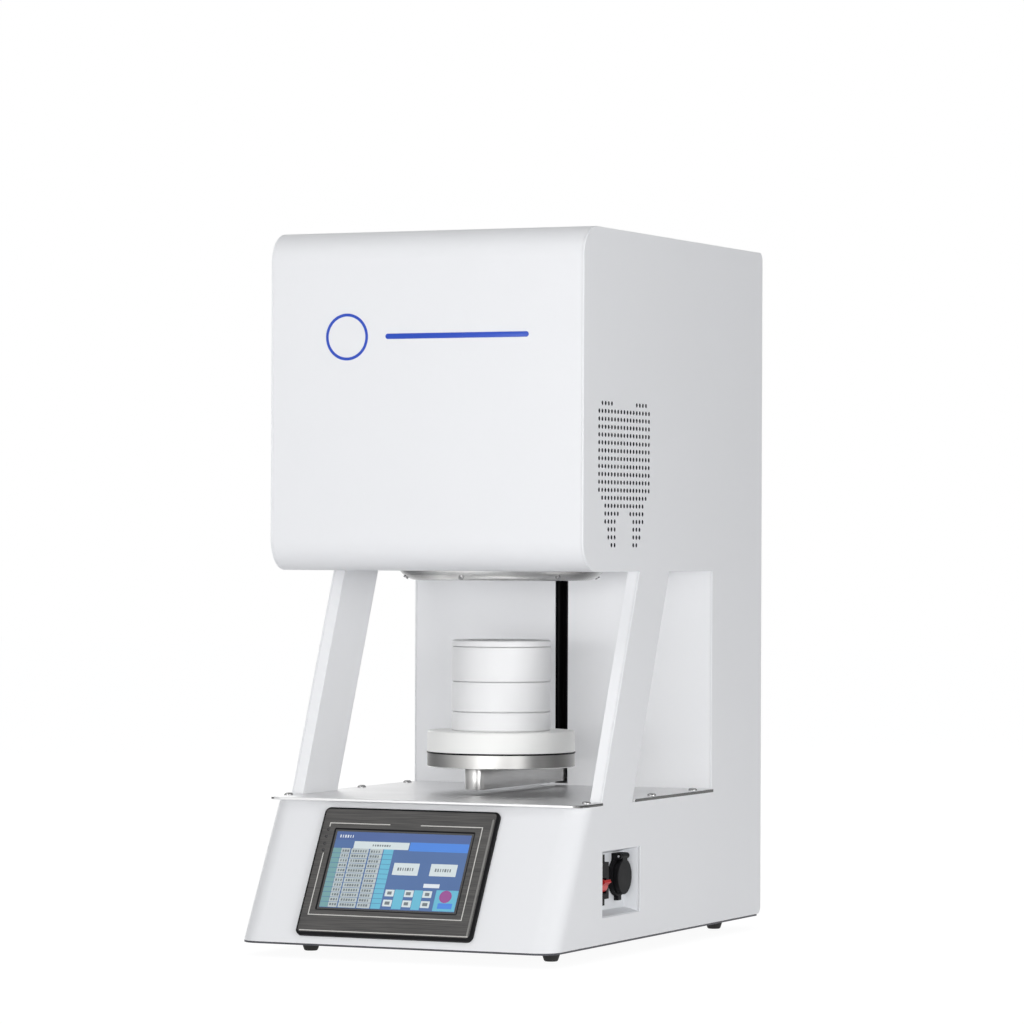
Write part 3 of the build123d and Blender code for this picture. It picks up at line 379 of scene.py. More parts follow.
CHROME = Finish("ground_chrome", (0.80, 0.80, 0.81), (0.62, 0.62, 0.63), (0.06, 0.14), 1.0,
                fine=1500, broad=25, relief=0.000002, lean=0.3, speckle=0.15)
# Near-black instead of bright steel, so that the rods and screw seen through the slot keep it dark: painted
# shade.
NEAR_BLACK_ROD = Finish("black_oxide_rod", (0.012, 0.012, 0.013), (0.006, 0.006, 0.007), (0.30, 0.45),
                     fine=1500, broad=25, relief=0.000002, lean=0.4, speckle=0.2, specular=0.3)
ALUMINIUM = Finish("mill_aluminium", (0.72, 0.725, 0.73), (0.52, 0.525, 0.53), (0.32, 0.46), 1.0,
                   Grain.BRUSHED_X, fine=1800, broad=20, relief=0.000006, lean=0.4, speckle=0.3)
BRASS = Finish("brass", (0.78, 0.58, 0.27), (0.58, 0.40, 0.16), (0.20, 0.34), 1.0,
               fine=1600, broad=60, relief=0.000004, lean=0.5, speckle=0.3)
COPPER = Finish("copper_winding", (0.78, 0.36, 0.18), (0.42, 0.15, 0.06), (0.22, 0.40), 1.0,
                Grain.BRUSHED_Y, fine=1400, broad=40, relief=0.00012, lean=0.3, speckle=0.8)
DARK_SHEET = Finish("dark_sheet", (0.022, 0.022, 0.024), (0.010, 0.010, 0.011), (0.42, 0.58),
                    fine=1400, broad=20, lean=0.5, speckle=0.3)
RUBBER = Finish("foot_rubber", (0.010, 0.010, 0.011), (0.022, 0.021, 0.020), (0.62, 0.80),
                fine=1800, broad=90, relief=0.00002, lean=0.5, speckle=0.4)
BEZEL = Finish("brushed_bezel", (0.098, 0.090, 0.083), (0.0, 0.0, 0.0), (0.26, 0.40), 0.0,
               Grain.BRUSHED_X, fine=1100, broad=12, lean=0.2, speckle=1.2, coat=0.22)
BLACK_GLASS = Finish("screen_glass", (0.010, 0.010, 0.012), (0.016, 0.016, 0.020), (0.05, 0.11),
                     fine=300, broad=15, relief=0.000001, lean=0.5, speckle=0.1)
CERAMIC = Finish("crucible_ceramic", (0.92, 0.92, 0.925), (0.85, 0.85, 0.855), (0.52, 0.68),
                 fine=1500, broad=45, relief=0.00003, lean=0.35, speckle=0.25)
FIBRE = Finish("fibre_board", (0.90, 0.90, 0.905), (0.80, 0.80, 0.80), (0.74, 0.90),
               fine=700, broad=60, relief=0.00010, lean=0.4, speckle=0.4)
SILICIDE = Finish("silicide_element", (0.16, 0.16, 0.17), (0.07, 0.07, 0.075), (0.34, 0.55), 1.0,
                  fine=1600, broad=90, relief=0.00002, lean=0.5, speckle=0.5)
POCKET = Finish("pocket_coat", (0.80, 0.815, 0.84), (0.72, 0.735, 0.76), (0.36, 0.46),
                fine=1100, broad=20, lean=0.35, speckle=0.1)
BLACK_PLASTIC = Finish("black_moulding", (0.006, 0.006, 0.007), (0.014, 0.014, 0.015), (0.34, 0.50),
                       fine=2400, broad=60, lean=0.4, speckle=0.4, specular=0.08)
RED_PLASTIC = Finish("red_moulding", (0.62, 0.012, 0.012), (0.42, 0.006, 0.008), (0.26, 0.38),
                     fine=1800, broad=90, relief=0.000005, lean=0.4, speckle=0.2)
BOARD = Finish("board_green", (0.012, 0.12, 0.045), (0.006, 0.07, 0.025), (0.30, 0.45),
               fine=500, broad=80, relief=0.00003, lean=0.5, speckle=0.5)
# Silver: the real inlay line round the screen, and also the painted highlight strip along the bezel's low
# rim.
INLAY_AND_HIGHLIGHT = Finish("silver_inlay", (0.62, 0.61, 0.58), (0.48, 0.47, 0.44), (0.28, 0.38),
               fine=1200, broad=50, relief=0.000003, lean=0.3, speckle=0.2)
# Grey strip up the bezel's right rim: a painted highlight.
RIM_HIGHLIGHT = Finish("grey_inlay", (0.20, 0.195, 0.185), (0.14, 0.135, 0.13), (0.30, 0.40),
                    fine=1200, broad=50, relief=0.000003, lean=0.3, speckle=0.2)
FRONT_LIGHT = Finish("front_light_blue", (0.009, 0.052, 0.40), (0.006, 0.038, 0.31), (0.30, 0.40),
                     fine=600, broad=40, relief=0.000002, lean=0.6, speckle=0.1, glow=0.35)


def lit(name: str, tone: Colour, deep: Optional[Colour] = None, glow: float = 0.55) -> Finish:
    """A finish of something that the screen shows.

    Args:
        name: The material's name.
        tone: The colour shown, linear.
        deep: The darker tone of its cells; seven tenths of the tone if it isn't given.
        glow: Emission strength.

    Returns:
        The finish.
    """
    shade = deep or tuple(0.7 * part for part in tone)
    return Finish(name, tone, shade, (0.16, 0.24), fine=2600, broad=22, relief=0.000001, lean=0.45,
                  speckle=0.35, glow=glow, specular=0.35)


def arc(centre: Point2, radius: float, start: float, sweep: float, steps: int) -> list[Point2]:
    """Points along an arc, both ends with them.

    Args:
        centre: Its centre.
        radius: Its radius.
        start: The angle that it starts at.
        sweep: The angle that it turns by.
        steps: Its parts.

    Returns:
        One point more than there are parts.
    """
    angles = [start + sweep * k / steps for k in range(steps + 1)]
    return [(centre[0] + radius * math.cos(angle), centre[1] + radius * math.sin(angle)) for angle in angles]


def circle(centre: Point2, radius: float, steps: int) -> list[Point2]:
    """Points round a circle, each of them once."""
    return arc(centre, radius, 0.0, TURN, steps)[:-1]


def skinned(
    loops: Sequence[Sequence[Point3]], closed: bool = False, caps: bool = False, slots: Sequence[int] = ()
) -> Mesh:
    """Spans bands of faces between loops of points.

    Args:
        loops: The loops, of as many points each, or of one point where a turned form meets its axis.
        closed: Whether a band joins the last loop to the first.
        caps: Whether a face fills the first loop and the last.
        slots: Material slot of each band; 0 if they aren't given.

    Returns:
        The new mesh, with its faces turned outwards.
    """
    mesh = bmesh.new()
    rings = [[mesh.verts.new(point) for point in loop] for loop in loops]
    steps = max(len(ring) for ring in rings)
    pairs = list(zip(rings, rings[1:] + rings[:1] if closed else rings[1:]))
    for band, (low, high) in enumerate(pairs):
        for k in range(steps):
            after = (k + 1) % steps
            corners = (low[k % len(low)], low[after % len(low)], high[after % len(high)], high[k % len(high)])
            outline = list(dict.fromkeys(corners))
            if len(outline) > 2:
                face = mesh.faces.new(outline)
                face.material_index = slots[band] if slots else 0
    if caps:
        mesh.faces.new(rings[0])
        mesh.faces.new(rings[-1])
    bmesh.ops.recalc_face_normals(mesh, faces=mesh.faces)
    return mesh


def linked(name: str, data: bpy.types.ID) -> Piece:
    """Makes an object of some data and links it to the scene."""
    made = bpy.data.objects.new(name, data)
    bpy.context.scene.collection.objects.link(made)
    return made


def soften(piece: Piece, even: bool = False) -> None:
    """Shades a piece smooth, with creases where its faces turn by more than SHARP.

    Args:
        piece: The piece.
        even: Whether large faces also keep their shading flat up to their rounded edges.
    """
    piece.data.polygons.foreach_set("use_smooth", [True] * len(piece.data.polygons))
    piece.data.set_sharp_from_angle(angle=SHARP)
    if even:
        piece.modifiers.new("even_shading", "WEIGHTED_NORMAL").keep_sharp = True


def new_piece(
    name: str, mesh: Mesh, *finishes: Finish, place: Optional[Matrix] = None, smooth: bool = True,
    even: bool = False,
) -> Piece:
    """Turns a mesh into an object.

    Args:
        name: The piece's name.
        mesh: The mesh, freed here.
        finishes: The finishes of its slots, in order.
        place: Where the mesh goes; it stays where it is if this isn't given.
        smooth: Whether it is shaded smooth.
        even: Whether large faces also keep their shading flat.

    Returns:
        The linked object, with its own origin at the frame's.
    """
    data = bpy.data.meshes.new(name)
    mesh.to_mesh(data)
    mesh.free()
    for finish in finishes:
        data.materials.append(finish.material())
    if place:
        data.transform(place)
    piece = linked(name, data)
    if smooth:
        soften(piece, even)
    return piece


def merged_copy(node: str) -> Mesh:
    """Copies a CAD node's triangles as one joined mesh with whole flat faces."""
    mesh = bmesh.new()
    mesh.from_mesh(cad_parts[node].data)
    for face in mesh.faces:
        face.material_index = 0
    bmesh.ops.remove_doubles(mesh, verts=mesh.verts, dist=WELD)
    bmesh.ops.dissolve_degenerate(mesh, edges=mesh.edges, dist=WELD)
    bmesh.ops.dissolve_limit(mesh, angle_limit=FLAT, verts=mesh.verts, edges=mesh.edges)
    return mesh


def round_edges(mesh: Mesh, radius: float, keep: Optional[EdgeTest] = None, slot: int = -1) -> None:
    """Rounds the sharp outer edges of a mesh.

    Args:
        mesh: The mesh, changed in place.
        radius: Width of the rounding.
        keep: Says of an edge's two ends whether it is rounded; all are if it isn't given.
        slot: Material slot of the rounding, or -1 for its neighbours'.
    """
    sharp = [edge for edge in mesh.edges if len(edge.link_faces) == 2 and edge.calc_face_angle(0.0) >= SHARP]
    chosen = [edge for edge in sharp if keep is None or keep(*(vert.co for vert in edge.verts))]
    if chosen:
        bmesh.ops.bevel(
            mesh, geom=chosen, offset=radius, segments=ROUND_STEPS, profile=0.5, affect="EDGES",
            clamp_overlap=True, material=slot, loop_slide=True,
        )


def settle(
    piece: Piece, nodes: Sequence[str] = (), body: Body = Body.CABINET
) -> Piece:
    """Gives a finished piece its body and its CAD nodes.

    Args:
        piece: The piece.
        nodes: CAD nodes that it stands for.
        body: The body that it rides on.

    Returns:
        The piece.
    """
    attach(piece, body.value)
    if nodes:
        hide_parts(*nodes)
    log.info("%s rides on %s, %d faces", piece.name, body.value, len(piece.data.polygons))
    return piece


def dressed(
    node: str, finish: Finish, slot: str, edge: float = 0.0, body: Body = Body.CABINET,
    edge_finish: Optional[Finish] = None,
) -> Piece:
    """Makes the finished form of a CAD node: joined faces, rounded edges and a material.

    Args:
        node: The CAD node.
        finish: Its finish.
        slot: The record's material slot; not used.
        edge: Width of the edge rounding; none at 0.
        body: The body that it rides on.
        edge_finish: Another finish on the rounded edges.

    Returns:
        The piece.
    """
    mesh = merged_copy(node)
    if edge > 0:
        round_edges(mesh, edge, slot=1 if edge_finish else -1)
    finishes = (finish, edge_finish) if edge_finish else (finish,)
    return settle(new_piece(f"{node}_dressed", mesh, *finishes, even=True), [node], body)


def lathe(name: str, profile: Sequence[Point2], centre: Point3, finish: Finish, steps: int = 96) -> Piece:
    """Turns a profile round an upright axis.

    Args:
        name: The piece's name.
        profile: Points (radius, height), from one end on the axis to the other or round a closed ring.
        centre: The axis's foot.
        finish: The finish.
        steps: Segments round the turn.

    Returns:
        The piece, which rides on nothing yet.
    """
    foot, base = centre[:2], centre[2]
    loops = [
        [(*point, base + height) for point in (circle(foot, radius, steps) if radius >= WELD else [foot])]
        for radius, height in profile
    ]
    ring = len(loops[0]) > 1 and len(loops[-1]) > 1
    return new_piece(name, skinned(loops, closed=ring), finish)


HEAD_SIDES = 24
# Share of the radius, share of the height, and whether the loop is a hexagon.
HEAD_PROFILE: tuple[tuple[float, float, bool], ...] = (
    (1.0, 0.0, False), (1.0, 0.28, False), (0.94, 0.58, False), (0.80, 0.85, False), (0.62, 1.0, False),
    (0.5, 1.0, True), (0.475, 0.82, True), (0.475, 0.4, True),
)


def socket_head(name: str, radius: float, height: float, finish: Finish) -> Piece:
    """A domed screw head with a hexagon socket, standing on the origin.

    Args:
        name: The object's name.
        radius: The head's radius.
        height: The head's height.
        finish: The finish.

    Returns:
        The head, to be placed by a field.
    """
    def hexagon(angle: float) -> float:
        return math.cos(math.pi / 6) / math.cos((angle % (math.pi / 3)) - math.pi / 6)

    loops = []
    for share, level, six_sided in HEAD_PROFILE:
        angles = [TURN * k / HEAD_SIDES for k in range(HEAD_SIDES)]
        reaches = [radius * share * (hexagon(angle) if six_sided else 1.0) for angle in angles]
        loops.append([
            (reach * math.cos(angle), reach * math.sin(angle), height * level)
            for reach, angle in zip(reaches, angles)
        ])
    return new_piece(name, skinned(loops, caps=True), finish)


class FieldKit:
    """Geometry Nodes trees that repeat a small form, and their conversion to plain meshes."""

    @staticmethod
    @node_group(
        "screw_field", "GeometryNodeTree",
        [("Geometry", GEOMETRY, None), ("Head", OBJECT, None), ("Size", FLOAT, 1.0),
         ("Finish", MATERIAL, None)],
        [("Geometry", GEOMETRY)],
    )
    def screws(weave: Weave, given: Sequence[Socket], made: Sequence[Socket]) -> None:
        """Tree: one head on each point, turned along the point's attribute named facing."""
        head = weave.add("GeometryNodeObjectInfo", {"Object": given["Head"]}).outputs["Geometry"]
        named = weave.add("GeometryNodeInputNamedAttribute", {"Name": "facing"}, data_type="FLOAT_VECTOR")
        facing = named.outputs["Attribute"]
        aim = weave.add("FunctionNodeAlignRotationToVector", {"Vector": facing}, axis="Z")
        heads = weave.copies(given["Geometry"], head, Rotation=aim, Scale=given["Size"])
        weave.feed(made["Geometry"], weave.coated(heads, given["Finish"]))

    @staticmethod
    @node_group(
        "perforation", "GeometryNodeTree",
        [("Geometry", GEOMETRY, None), ("Holes", OBJECT, None), ("Radius", FLOAT, 0.0022),
         ("Depth", FLOAT, 0.01), ("Sides", INTEGER, 16), ("Finish", MATERIAL, None),
         ("Wall Finish", MATERIAL, None)],
        [("Geometry", GEOMETRY)],
    )
    def perforation(weave: Weave, given: Sequence[Socket], made: Sequence[Socket]) -> None:
        """Tree: cuts a round hole through a plate at each point of another object, along X."""
        holes = weave.add("GeometryNodeObjectInfo", {"Object": given["Holes"]}).outputs["Geometry"]
        sizes = {"Vertices": given["Sides"], "Radius": given["Radius"], "Depth": given["Depth"]}
        drill = weave.add("GeometryNodeMeshCylinder", sizes, fill_type="NGON").outputs["Mesh"]
        wall = weave.coated(drill, given["Wall Finish"])
        drills = weave.copies(holes, wall, Rotation=(0.0, QUARTER, 0.0))
        plate = weave.coated(given["Geometry"], given["Finish"])
        feeds = {"Mesh 1": plate, "Mesh 2": drills}
        cut = weave.add("GeometryNodeMeshBoolean", feeds, operation="DIFFERENCE", solver="EXACT")
        weave.feed(made["Geometry"], cut.outputs["Mesh"])

    @staticmethod
    @node_group(
        "screen_cells", "GeometryNodeTree",
        [("Geometry", GEOMETRY, None), ("Columns", INTEGER, 4), ("Rows", INTEGER, 4),
         ("Pitch X", FLOAT, 0.01), ("Pitch Y", FLOAT, 0.01), ("Width", FLOAT, 0.008),
         ("Height", FLOAT, 0.002), ("Least Width", FLOAT, 1.0), ("Seed", INTEGER, 7),
         ("Finish", MATERIAL, None)],
        [("Geometry", GEOMETRY)],
    )
    def cells(weave: Weave, given: Sequence[Socket], made: Sequence[Socket]) -> None:
        """Tree: rows and columns of flat marks of even height and seeded width, on the XY plane."""
        lines = []
        for count, axis in (("Columns", "X"), ("Rows", "Y")):
            step = weave.add("ShaderNodeCombineXYZ", {axis: given[f"Pitch {axis}"]})
            feeds = {"Count": given[count], "Offset": step}
            lines.append(weave.add("GeometryNodeMeshLine", feeds, mode="OFFSET"))
        across, down = lines
        points = weave.copies(down, across)
        mark = weave.add("GeometryNodeMeshGrid", {
            "Vertices X": 2, "Vertices Y": 2, "Size X": given["Width"], "Size Y": given["Height"],
        }).outputs["Mesh"]
        widths = {2: given["Least Width"], 3: 1.0, "Seed": given["Seed"]}
        chance = weave.add("FunctionNodeRandomValue", widths, data_type="FLOAT")
        size = weave.add("ShaderNodeCombineXYZ", {"X": chance.outputs[1], "Y": 1.0, "Z": 1.0})
        marks = weave.copies(points, mark, Scale=size)
        weave.feed(made["Geometry"], weave.coated(marks, given["Finish"]))

    @staticmethod
    def grown(carrier: Piece, tree: Tree, **inputs: object) -> Piece:
        """Runs a tree on a carrier and keeps the result as the carrier's plain mesh.

        Args:
            carrier: The object that the tree starts from.
            tree: The node tree.
            inputs: Values by the input's name, with _ for a space.

        Returns:
            The carrier, with its new mesh and no modifier.
        """
        modifier = carrier.modifiers.new("grow", "NODES")
        modifier.node_group = tree
        for item in tree.interface.items_tree:
            key = item.name.replace(" ", "_")
            if item.item_type == "SOCKET" and item.in_out == "INPUT" and key in inputs:
                modifier[item.identifier] = inputs[key]
        bpy.context.view_layer.update()
        ready = carrier.evaluated_get(bpy.context.evaluated_depsgraph_get())
        mesh = bpy.data.meshes.new_from_object(ready)
        carrier.modifiers.remove(modifier)
        carrier.data = mesh
        mesh.name = carrier.name
        return carrier


def point_cloud(name: str, points: Sequence[Point3], facings: Sequence[Point3] = ()) -> Piece:
    """An object of loose points, with an attribute for the way each one faces.

    Args:
        name: The object's name.
        points: The places.
        facings: One direction for each place.

    Returns:
        The linked object.
    """
    data = bpy.data.meshes.new(name)
    data.from_pydata(points, [], [])
    if facings:
        attribute = data.attributes.new("facing", "FLOAT_VECTOR", "POINT")
        attribute.data.foreach_set("vector", [part for facing in facings for part in facing])
    return linked(name, data)


def field(name: str, head: Piece, points: Sequence[Point3], facing: Point3, finish: Finish) -> Piece:
    """Copies of a small form at given places, as one piece.

    Args:
        name: The piece's name.
        head: The form, standing on the origin; removed here.
        points: Centre of the seat of each copy.
        facing: The way that they all point.
        finish: Their finish.

    Returns:
        The piece, which rides on nothing yet.
    """
    cloud = point_cloud(name, points, [facing] * len(points))
    FieldKit.grown(cloud, FieldKit.screws(), Head=head, Size=1.0, Finish=finish.material())
    bpy.data.objects.remove(head)
    return cloud


def screw_field(
    name: str, points: Sequence[Point3], facing: Point3, radius: float, height: float,
    nodes: Sequence[str] = (),
) -> Piece:
    """Screw heads at given places of the cabinet, as one piece.

    Args:
        name: The piece's name.
        points: Centre of the seat of each head.
        facing: The way that they all point.
        radius: Head radius.
        height: Head height.
        nodes: CAD nodes that they stand for.

    Returns:
        The piece.
    """
    head = socket_head(f"{name}_head", radius, height, SCREW_STEEL)
    return settle(field(name, head, points, facing, SCREW_STEEL), nodes)


@dataclass
class Housing:
    """The white sheet-metal body: side plates with the vent field, shell, column and strut covers.

    Attributes:
        edge: Rounding of the side plates' cut edges.
        sheet_edge: The same for the bent sheets.
        seam_low: Lower end (Y, Z) of the seam between side plate and slanted front.
        seam_high: Its upper end.
        seam_reach: How far an edge may lie from the seam and belong to it.
        seam_slack: Share of its length that the seam goes on past each end.
        vent_origin: Y and Z of the vent field's first column and first row.
        vent_pitch: Steps along Y and Z.
        hole_radius: Radius of a vent hole.
        hole_sides: Its sides.
        drill_depth: Length of the drill that cuts it.
        plate_x: Middle of the right side plate's thickness.
        screen_rim: How far the near-black sheet behind the holes reaches past the outer holes.
        screen_steps: Inset and X of that sheet's loops, from its dished face round to its back.
        slot_x: Middle and half width of the lift's slot.
        slot_z: Levels between which the slot's edges lie.
        slot_ease: How far each edge of the slot is eased outwards.
        roof_screws: X, then Y of the screws on the roof.
        roof_z: The roof's upper face.
        roof_head: Radius and height of their heads.
        back_screws: X, then Z of the screws on the back panel.
        back_head: Radius and height of their heads.
    """

    edge: float = 0.0005
    sheet_edge: float = 0.0003
    seam_low: Point2 = (-0.2416, 0.015)
    seam_high: Point2 = (-0.1661, 0.150)
    seam_reach: float = 0.0015
    seam_slack: float = 0.05
    vent_origin: Point2 = (-0.163, 0.5426)
    vent_pitch: Point2 = (0.00778, 0.0077)
    hole_radius: float = 0.0022
    hole_sides: int = 16
    drill_depth: float = 0.02
    plate_x: float = 0.16875
    screen_rim: float = 0.009
    screen_steps: tuple[Point2, ...] = (
        (0.004, 0.1658), (0.0035, 0.1673), (0.0, 0.1674), (0.0, 0.1668), (0.003, 0.1667), (0.0036, 0.1652),
    )
    slot_x: Point2 = (0.0, 0.006)
    slot_z: Point2 = (0.150, 0.370)
    slot_ease: float = 0.0014
    roof_screws: tuple[Point2, Point2] = ((-0.160, 0.160), (-0.1255, 0.2165))
    roof_z: float = 0.714
    roof_head: Point2 = (0.0022, 0.0009)
    back_screws: tuple[Point2, tuple[float, ...]] = ((-0.150, 0.150), (0.030, 0.200, 0.360, 0.530, 0.700))
    back_head: Point2 = (0.003, 0.0014)

    def on_seam(self, point: Vector) -> bool:
        """Says whether a point lies on the welded and painted seam of the base."""
        share = (point.z - self.seam_low[1]) / (self.seam_high[1] - self.seam_low[1])
        seam_y = self.seam_low[0] + share * (self.seam_high[0] - self.seam_low[0])
        along = -self.seam_slack < share < 1 + self.seam_slack
        return along and abs(point.y - seam_y) < self.seam_reach

    def vent_points(self) -> list[Point3]:
        """Centres of the vent holes: two crowns, a full field, and two pairs of roots.

        Returns:
            The places on the right side plate.
        """
        rows: list[list[int]] = [[1, 2, 3, 4, 12, 13, 14, 15]]
        rows += [list(range(17))] * 11
        rows += [list(range(1, 16)), list(range(2, 15))]
        rows += [[2, 3, 4, 5, 6, 10, 11, 12, 13, 14], [2, 3, 4, 5, 11, 12, 13, 14]]
        rows += [[3, 4, 5, 11, 12, 13]] * 2 + [[4, 5, 11, 12]]
        first_y, first_z = self.vent_origin
        step_y, step_z = self.vent_pitch
        return [
            (self.plate_x, first_y + column * step_y, first_z - row * step_z)
            for row, columns in enumerate(rows)
            for column in columns
        ]

    def side_plates(self) -> None:
        """Dresses both side plates and drills the right one, with painted shade on the hole walls."""
        def keep(a: Vector, b: Vector) -> bool:
            return not (self.on_seam(a) and self.on_seam(b))

        for side in ("left", "right"):
            node = f"side_plate_{side}"
            mesh = merged_copy(node)
            round_edges(mesh, self.edge, keep)
            plate = new_piece(f"{node}_dressed", mesh, POWDER_COAT, smooth=False)
            if side == "right":
                holes = point_cloud("vent_holes", self.vent_points())
                # The hole walls get the near-black sheet finish: painted shade in the holes.
                FieldKit.grown(
                    plate, FieldKit.perforation(), Holes=holes, Radius=self.hole_radius,
                    Depth=self.drill_depth, Sides=self.hole_sides,
                    Finish=POWDER_COAT.material(), Wall_Finish=DARK_SHEET.material(),
                )
                bpy.data.objects.remove(holes)
            soften(plate, even=True)
            settle(plate, [node])

    def vent_screen(self) -> None:
        """A near-black dished sheet with a flat rim on the plate, just behind the vent holes: painted shade
        of the cabinet's inside, seen through them.
        """
        _, across, upward = zip(*self.vent_points())
        low_y, high_y = min(across) - self.screen_rim, max(across) + self.screen_rim
        low_z, high_z = min(upward) - self.screen_rim, max(upward) + self.screen_rim
        loops = [
            [
                (x, low_y + inset, low_z + inset), (x, high_y - inset, low_z + inset),
                (x, high_y - inset, high_z - inset), (x, low_y + inset, high_z - inset),
            ]
            for inset, x in self.screen_steps
        ]
        settle(new_piece("vent_dust_screen", skinned(loops, caps=True), DARK_SHEET))

    def shell(self) -> None:
        """Dresses the bent sheets and the covers."""
        dressed("housing_shell", POWDER_COAT, "white_shell", self.sheet_edge)
        dressed("back_panel", POWDER_COAT, "white_shell", self.sheet_edge)
        # The column's front and the strut covers take the paler coat, painted light inside the opening.
        self.column()
        dressed("strut_cover_left", PALER_INNER_COAT, "white_shell", self.sheet_edge)
        dressed("strut_cover_right", PALER_INNER_COAT, "white_shell", self.sheet_edge)
        dressed("base_pan", DARK_SHEET, "dark_sheet", self.sheet_edge)

    def column(self) -> None:
        """Dresses the column's front, with the slot as wide as the lit sheet edges leave it."""
        piece = dressed("column_front_panel", PALER_INNER_COAT, "white_shell", self.sheet_edge)
        middle, half = self.slot_x
        for vert in piece.data.vertices:
            aside = vert.co.x - middle
            if abs(aside) < half + self.slot_ease and self.slot_z[0] < vert.co.z < self.slot_z[1]:
                vert.co.x += math.copysign(self.slot_ease, aside)

    def screws(self) -> None:
        """Small screws on the roof and on the back panel."""
        roof = [(x, y, self.roof_z) for x in self.roof_screws[0] for y in self.roof_screws[1]]
        screw_field("roof_screws", roof, (0, 0, 1), *self.roof_head)
        back_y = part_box("back_panel")[1].y
        back = [(x, back_y, z) for x in self.back_screws[0] for z in self.back_screws[1]]
        screw_field("back_screws", back, (0, 1, 0), *self.back_head)

    def build(self) -> None:
        """Builds the whole body."""
        self.side_plates()
        self.vent_screen()
        self.shell()
        self.screws()


@dataclass
class Nose:
    """The slanted front of the base: one sheet with two large upright bends and the touch panel's opening.

    Attributes:
        half_width: Half of the base's width.
        low: Y and Z of the front's lower edge.
        high: Y and Z of its upper edge.
        run: Depth from the front to the seam with the side plates.
        bend: Outer radius of the bends in plan.
        sheet: The sheet's thickness.
        opening: Least X, greatest X, least and greatest share of the height of the panel's opening.
        bend_steps: Faces across one bend.
    """

    half_width: float = 0.170
    low: Point2 = (-0.2705, 0.015)
    high: Point2 = (-0.1950, 0.150)
    run: float = 0.0289
    bend: float = 0.024
    sheet: float = 0.0015
    opening: tuple[float, float, float, float] = (-0.0996, 0.0784, 0.09, 0.92)
    bend_steps: int = 14

    def plan(self, inset: float) -> list[Point2]:
        """The sheet's line in plan from the left seam to the right one, with Y from the front.

        Args:
            inset: How far the line lies inside the outer one.

        Returns:
            The points, as many for each inset.
        """
        side = self.half_width - inset
        centre = (self.bend - self.half_width, self.bend)
        corner = arc(centre, self.bend - inset, math.pi, QUARTER, self.bend_steps)
        left = [(-side, self.run), *corner, (self.opening[0], inset)]
        right = [(self.opening[1], inset), *((-x, y) for x, y in reversed(corner)), (side, self.run)]
        return left + right

    def build(self) -> None:
        """Builds the sheet as rows of faces up the slant, open where the panel's housing passes."""
        mesh = bmesh.new()
        run, rise = self.high[0] - self.low[0], self.high[1] - self.low[1]
        shares = (0.0, *self.opening[2:], 1.0)
        outer, inner = [
            [
                [
                    mesh.verts.new((x, self.low[0] + share * run + depth, self.low[1] + share * rise))
                    for x, depth in self.plan(inset)
                ]
                for share in shares
            ]
            for inset in (0.0, self.sheet)
        ]
        last_row, last_column = len(shares) - 1, len(outer[0]) - 1
        hole = (1, last_column // 2)
        for skin in (outer, inner):
            for row in range(last_row):
                for column in range(last_column):
                    if (row, column) != hole:
                        mesh.faces.new([
                            skin[row][column], skin[row][column + 1],
                            skin[row + 1][column + 1], skin[row + 1][column],
                        ])
        rims = [(row, column, row, column + 1) for row in (0, last_row) for column in range(last_column)]
        rims += [(row, column, row + 1, column) for column in (0, last_column) for row in range(last_row)]
        rims += [(row, hole[1], row, hole[1] + 1) for row in (1, 2)]
        rims += [(1, column, 2, column) for column in (hole[1], hole[1] + 1)]
        for row, column, next_row, next_column in rims:
            mesh.faces.new([
                outer[row][column], outer[next_row][next_column],
                inner[next_row][next_column], inner[row][column],
            ])
        bmesh.ops.recalc_face_normals(mesh, faces=mesh.faces)
        piece = new_piece("base_front_panel_bent", mesh, POWDER_COAT)
        settle(piece, ["base_front_panel"])


@dataclass
class FrontLight:
    """The blue light behind the front: a plain ring and a slim bar.

    Attributes:
        front_y: The housing's front face.
        ring_centre: X and Z of the ring.
        ring_radii: Inner and outer radius of the ring.
        ring_steps: Faces round the ring.
        bar_box: Least X, least Z, greatest X and greatest Z of the bar.
        bar_steps: Faces round each of its ends.
        raised: How far the diffuser stands before the sheet.
    """

    front_y: float = -0.2005
    ring_centre: Point2 = (-0.0858, 0.6087)
    ring_radii: Point2 = (0.0203, 0.0232)
    ring_steps: int = 72
    bar_box: Box2 = (-0.0435, 0.6060, 0.1115, 0.6114)
    bar_steps: int = 12
    raised: float = 0.0003

    def ring(self) -> None:
        """Builds the ring with softened rims."""
        inner, outer = self.ring_radii
        rim = self.raised / 2
        profile = [
            (inner, 0.0), (inner, rim), (inner + rim, self.raised),
            (outer - rim, self.raised), (outer, rim), (outer, 0.0),
        ]
        loops = [
            [(x, self.front_y - height, z) for x, z in circle(self.ring_centre, radius, self.ring_steps)]
            for radius, height in profile
        ]
        settle(new_piece("front_light_ring", skinned(loops, closed=True), FRONT_LIGHT))

    def bar(self) -> None:
        """Builds the bar with round ends."""
        x0, z0, x1, z1 = self.bar_box
        radius, middle = (z1 - z0) / 2, (z0 + z1) / 2
        outline = arc((x1 - radius, middle), radius, -QUARTER, math.pi, self.bar_steps)
        outline += [(x0 + x1 - x, 2 * middle - z) for x, z in outline]
        loops = [[(x, y, z) for x, z in outline] for y in (self.front_y, self.front_y - self.raised)]
        mesh = skinned(loops, caps=True)
        round_edges(mesh, self.raised / 2)
        settle(new_piece("front_light_bar", mesh, FRONT_LIGHT))

    def build(self) -> None:
        """Builds both."""
        self.ring()
        self.bar()


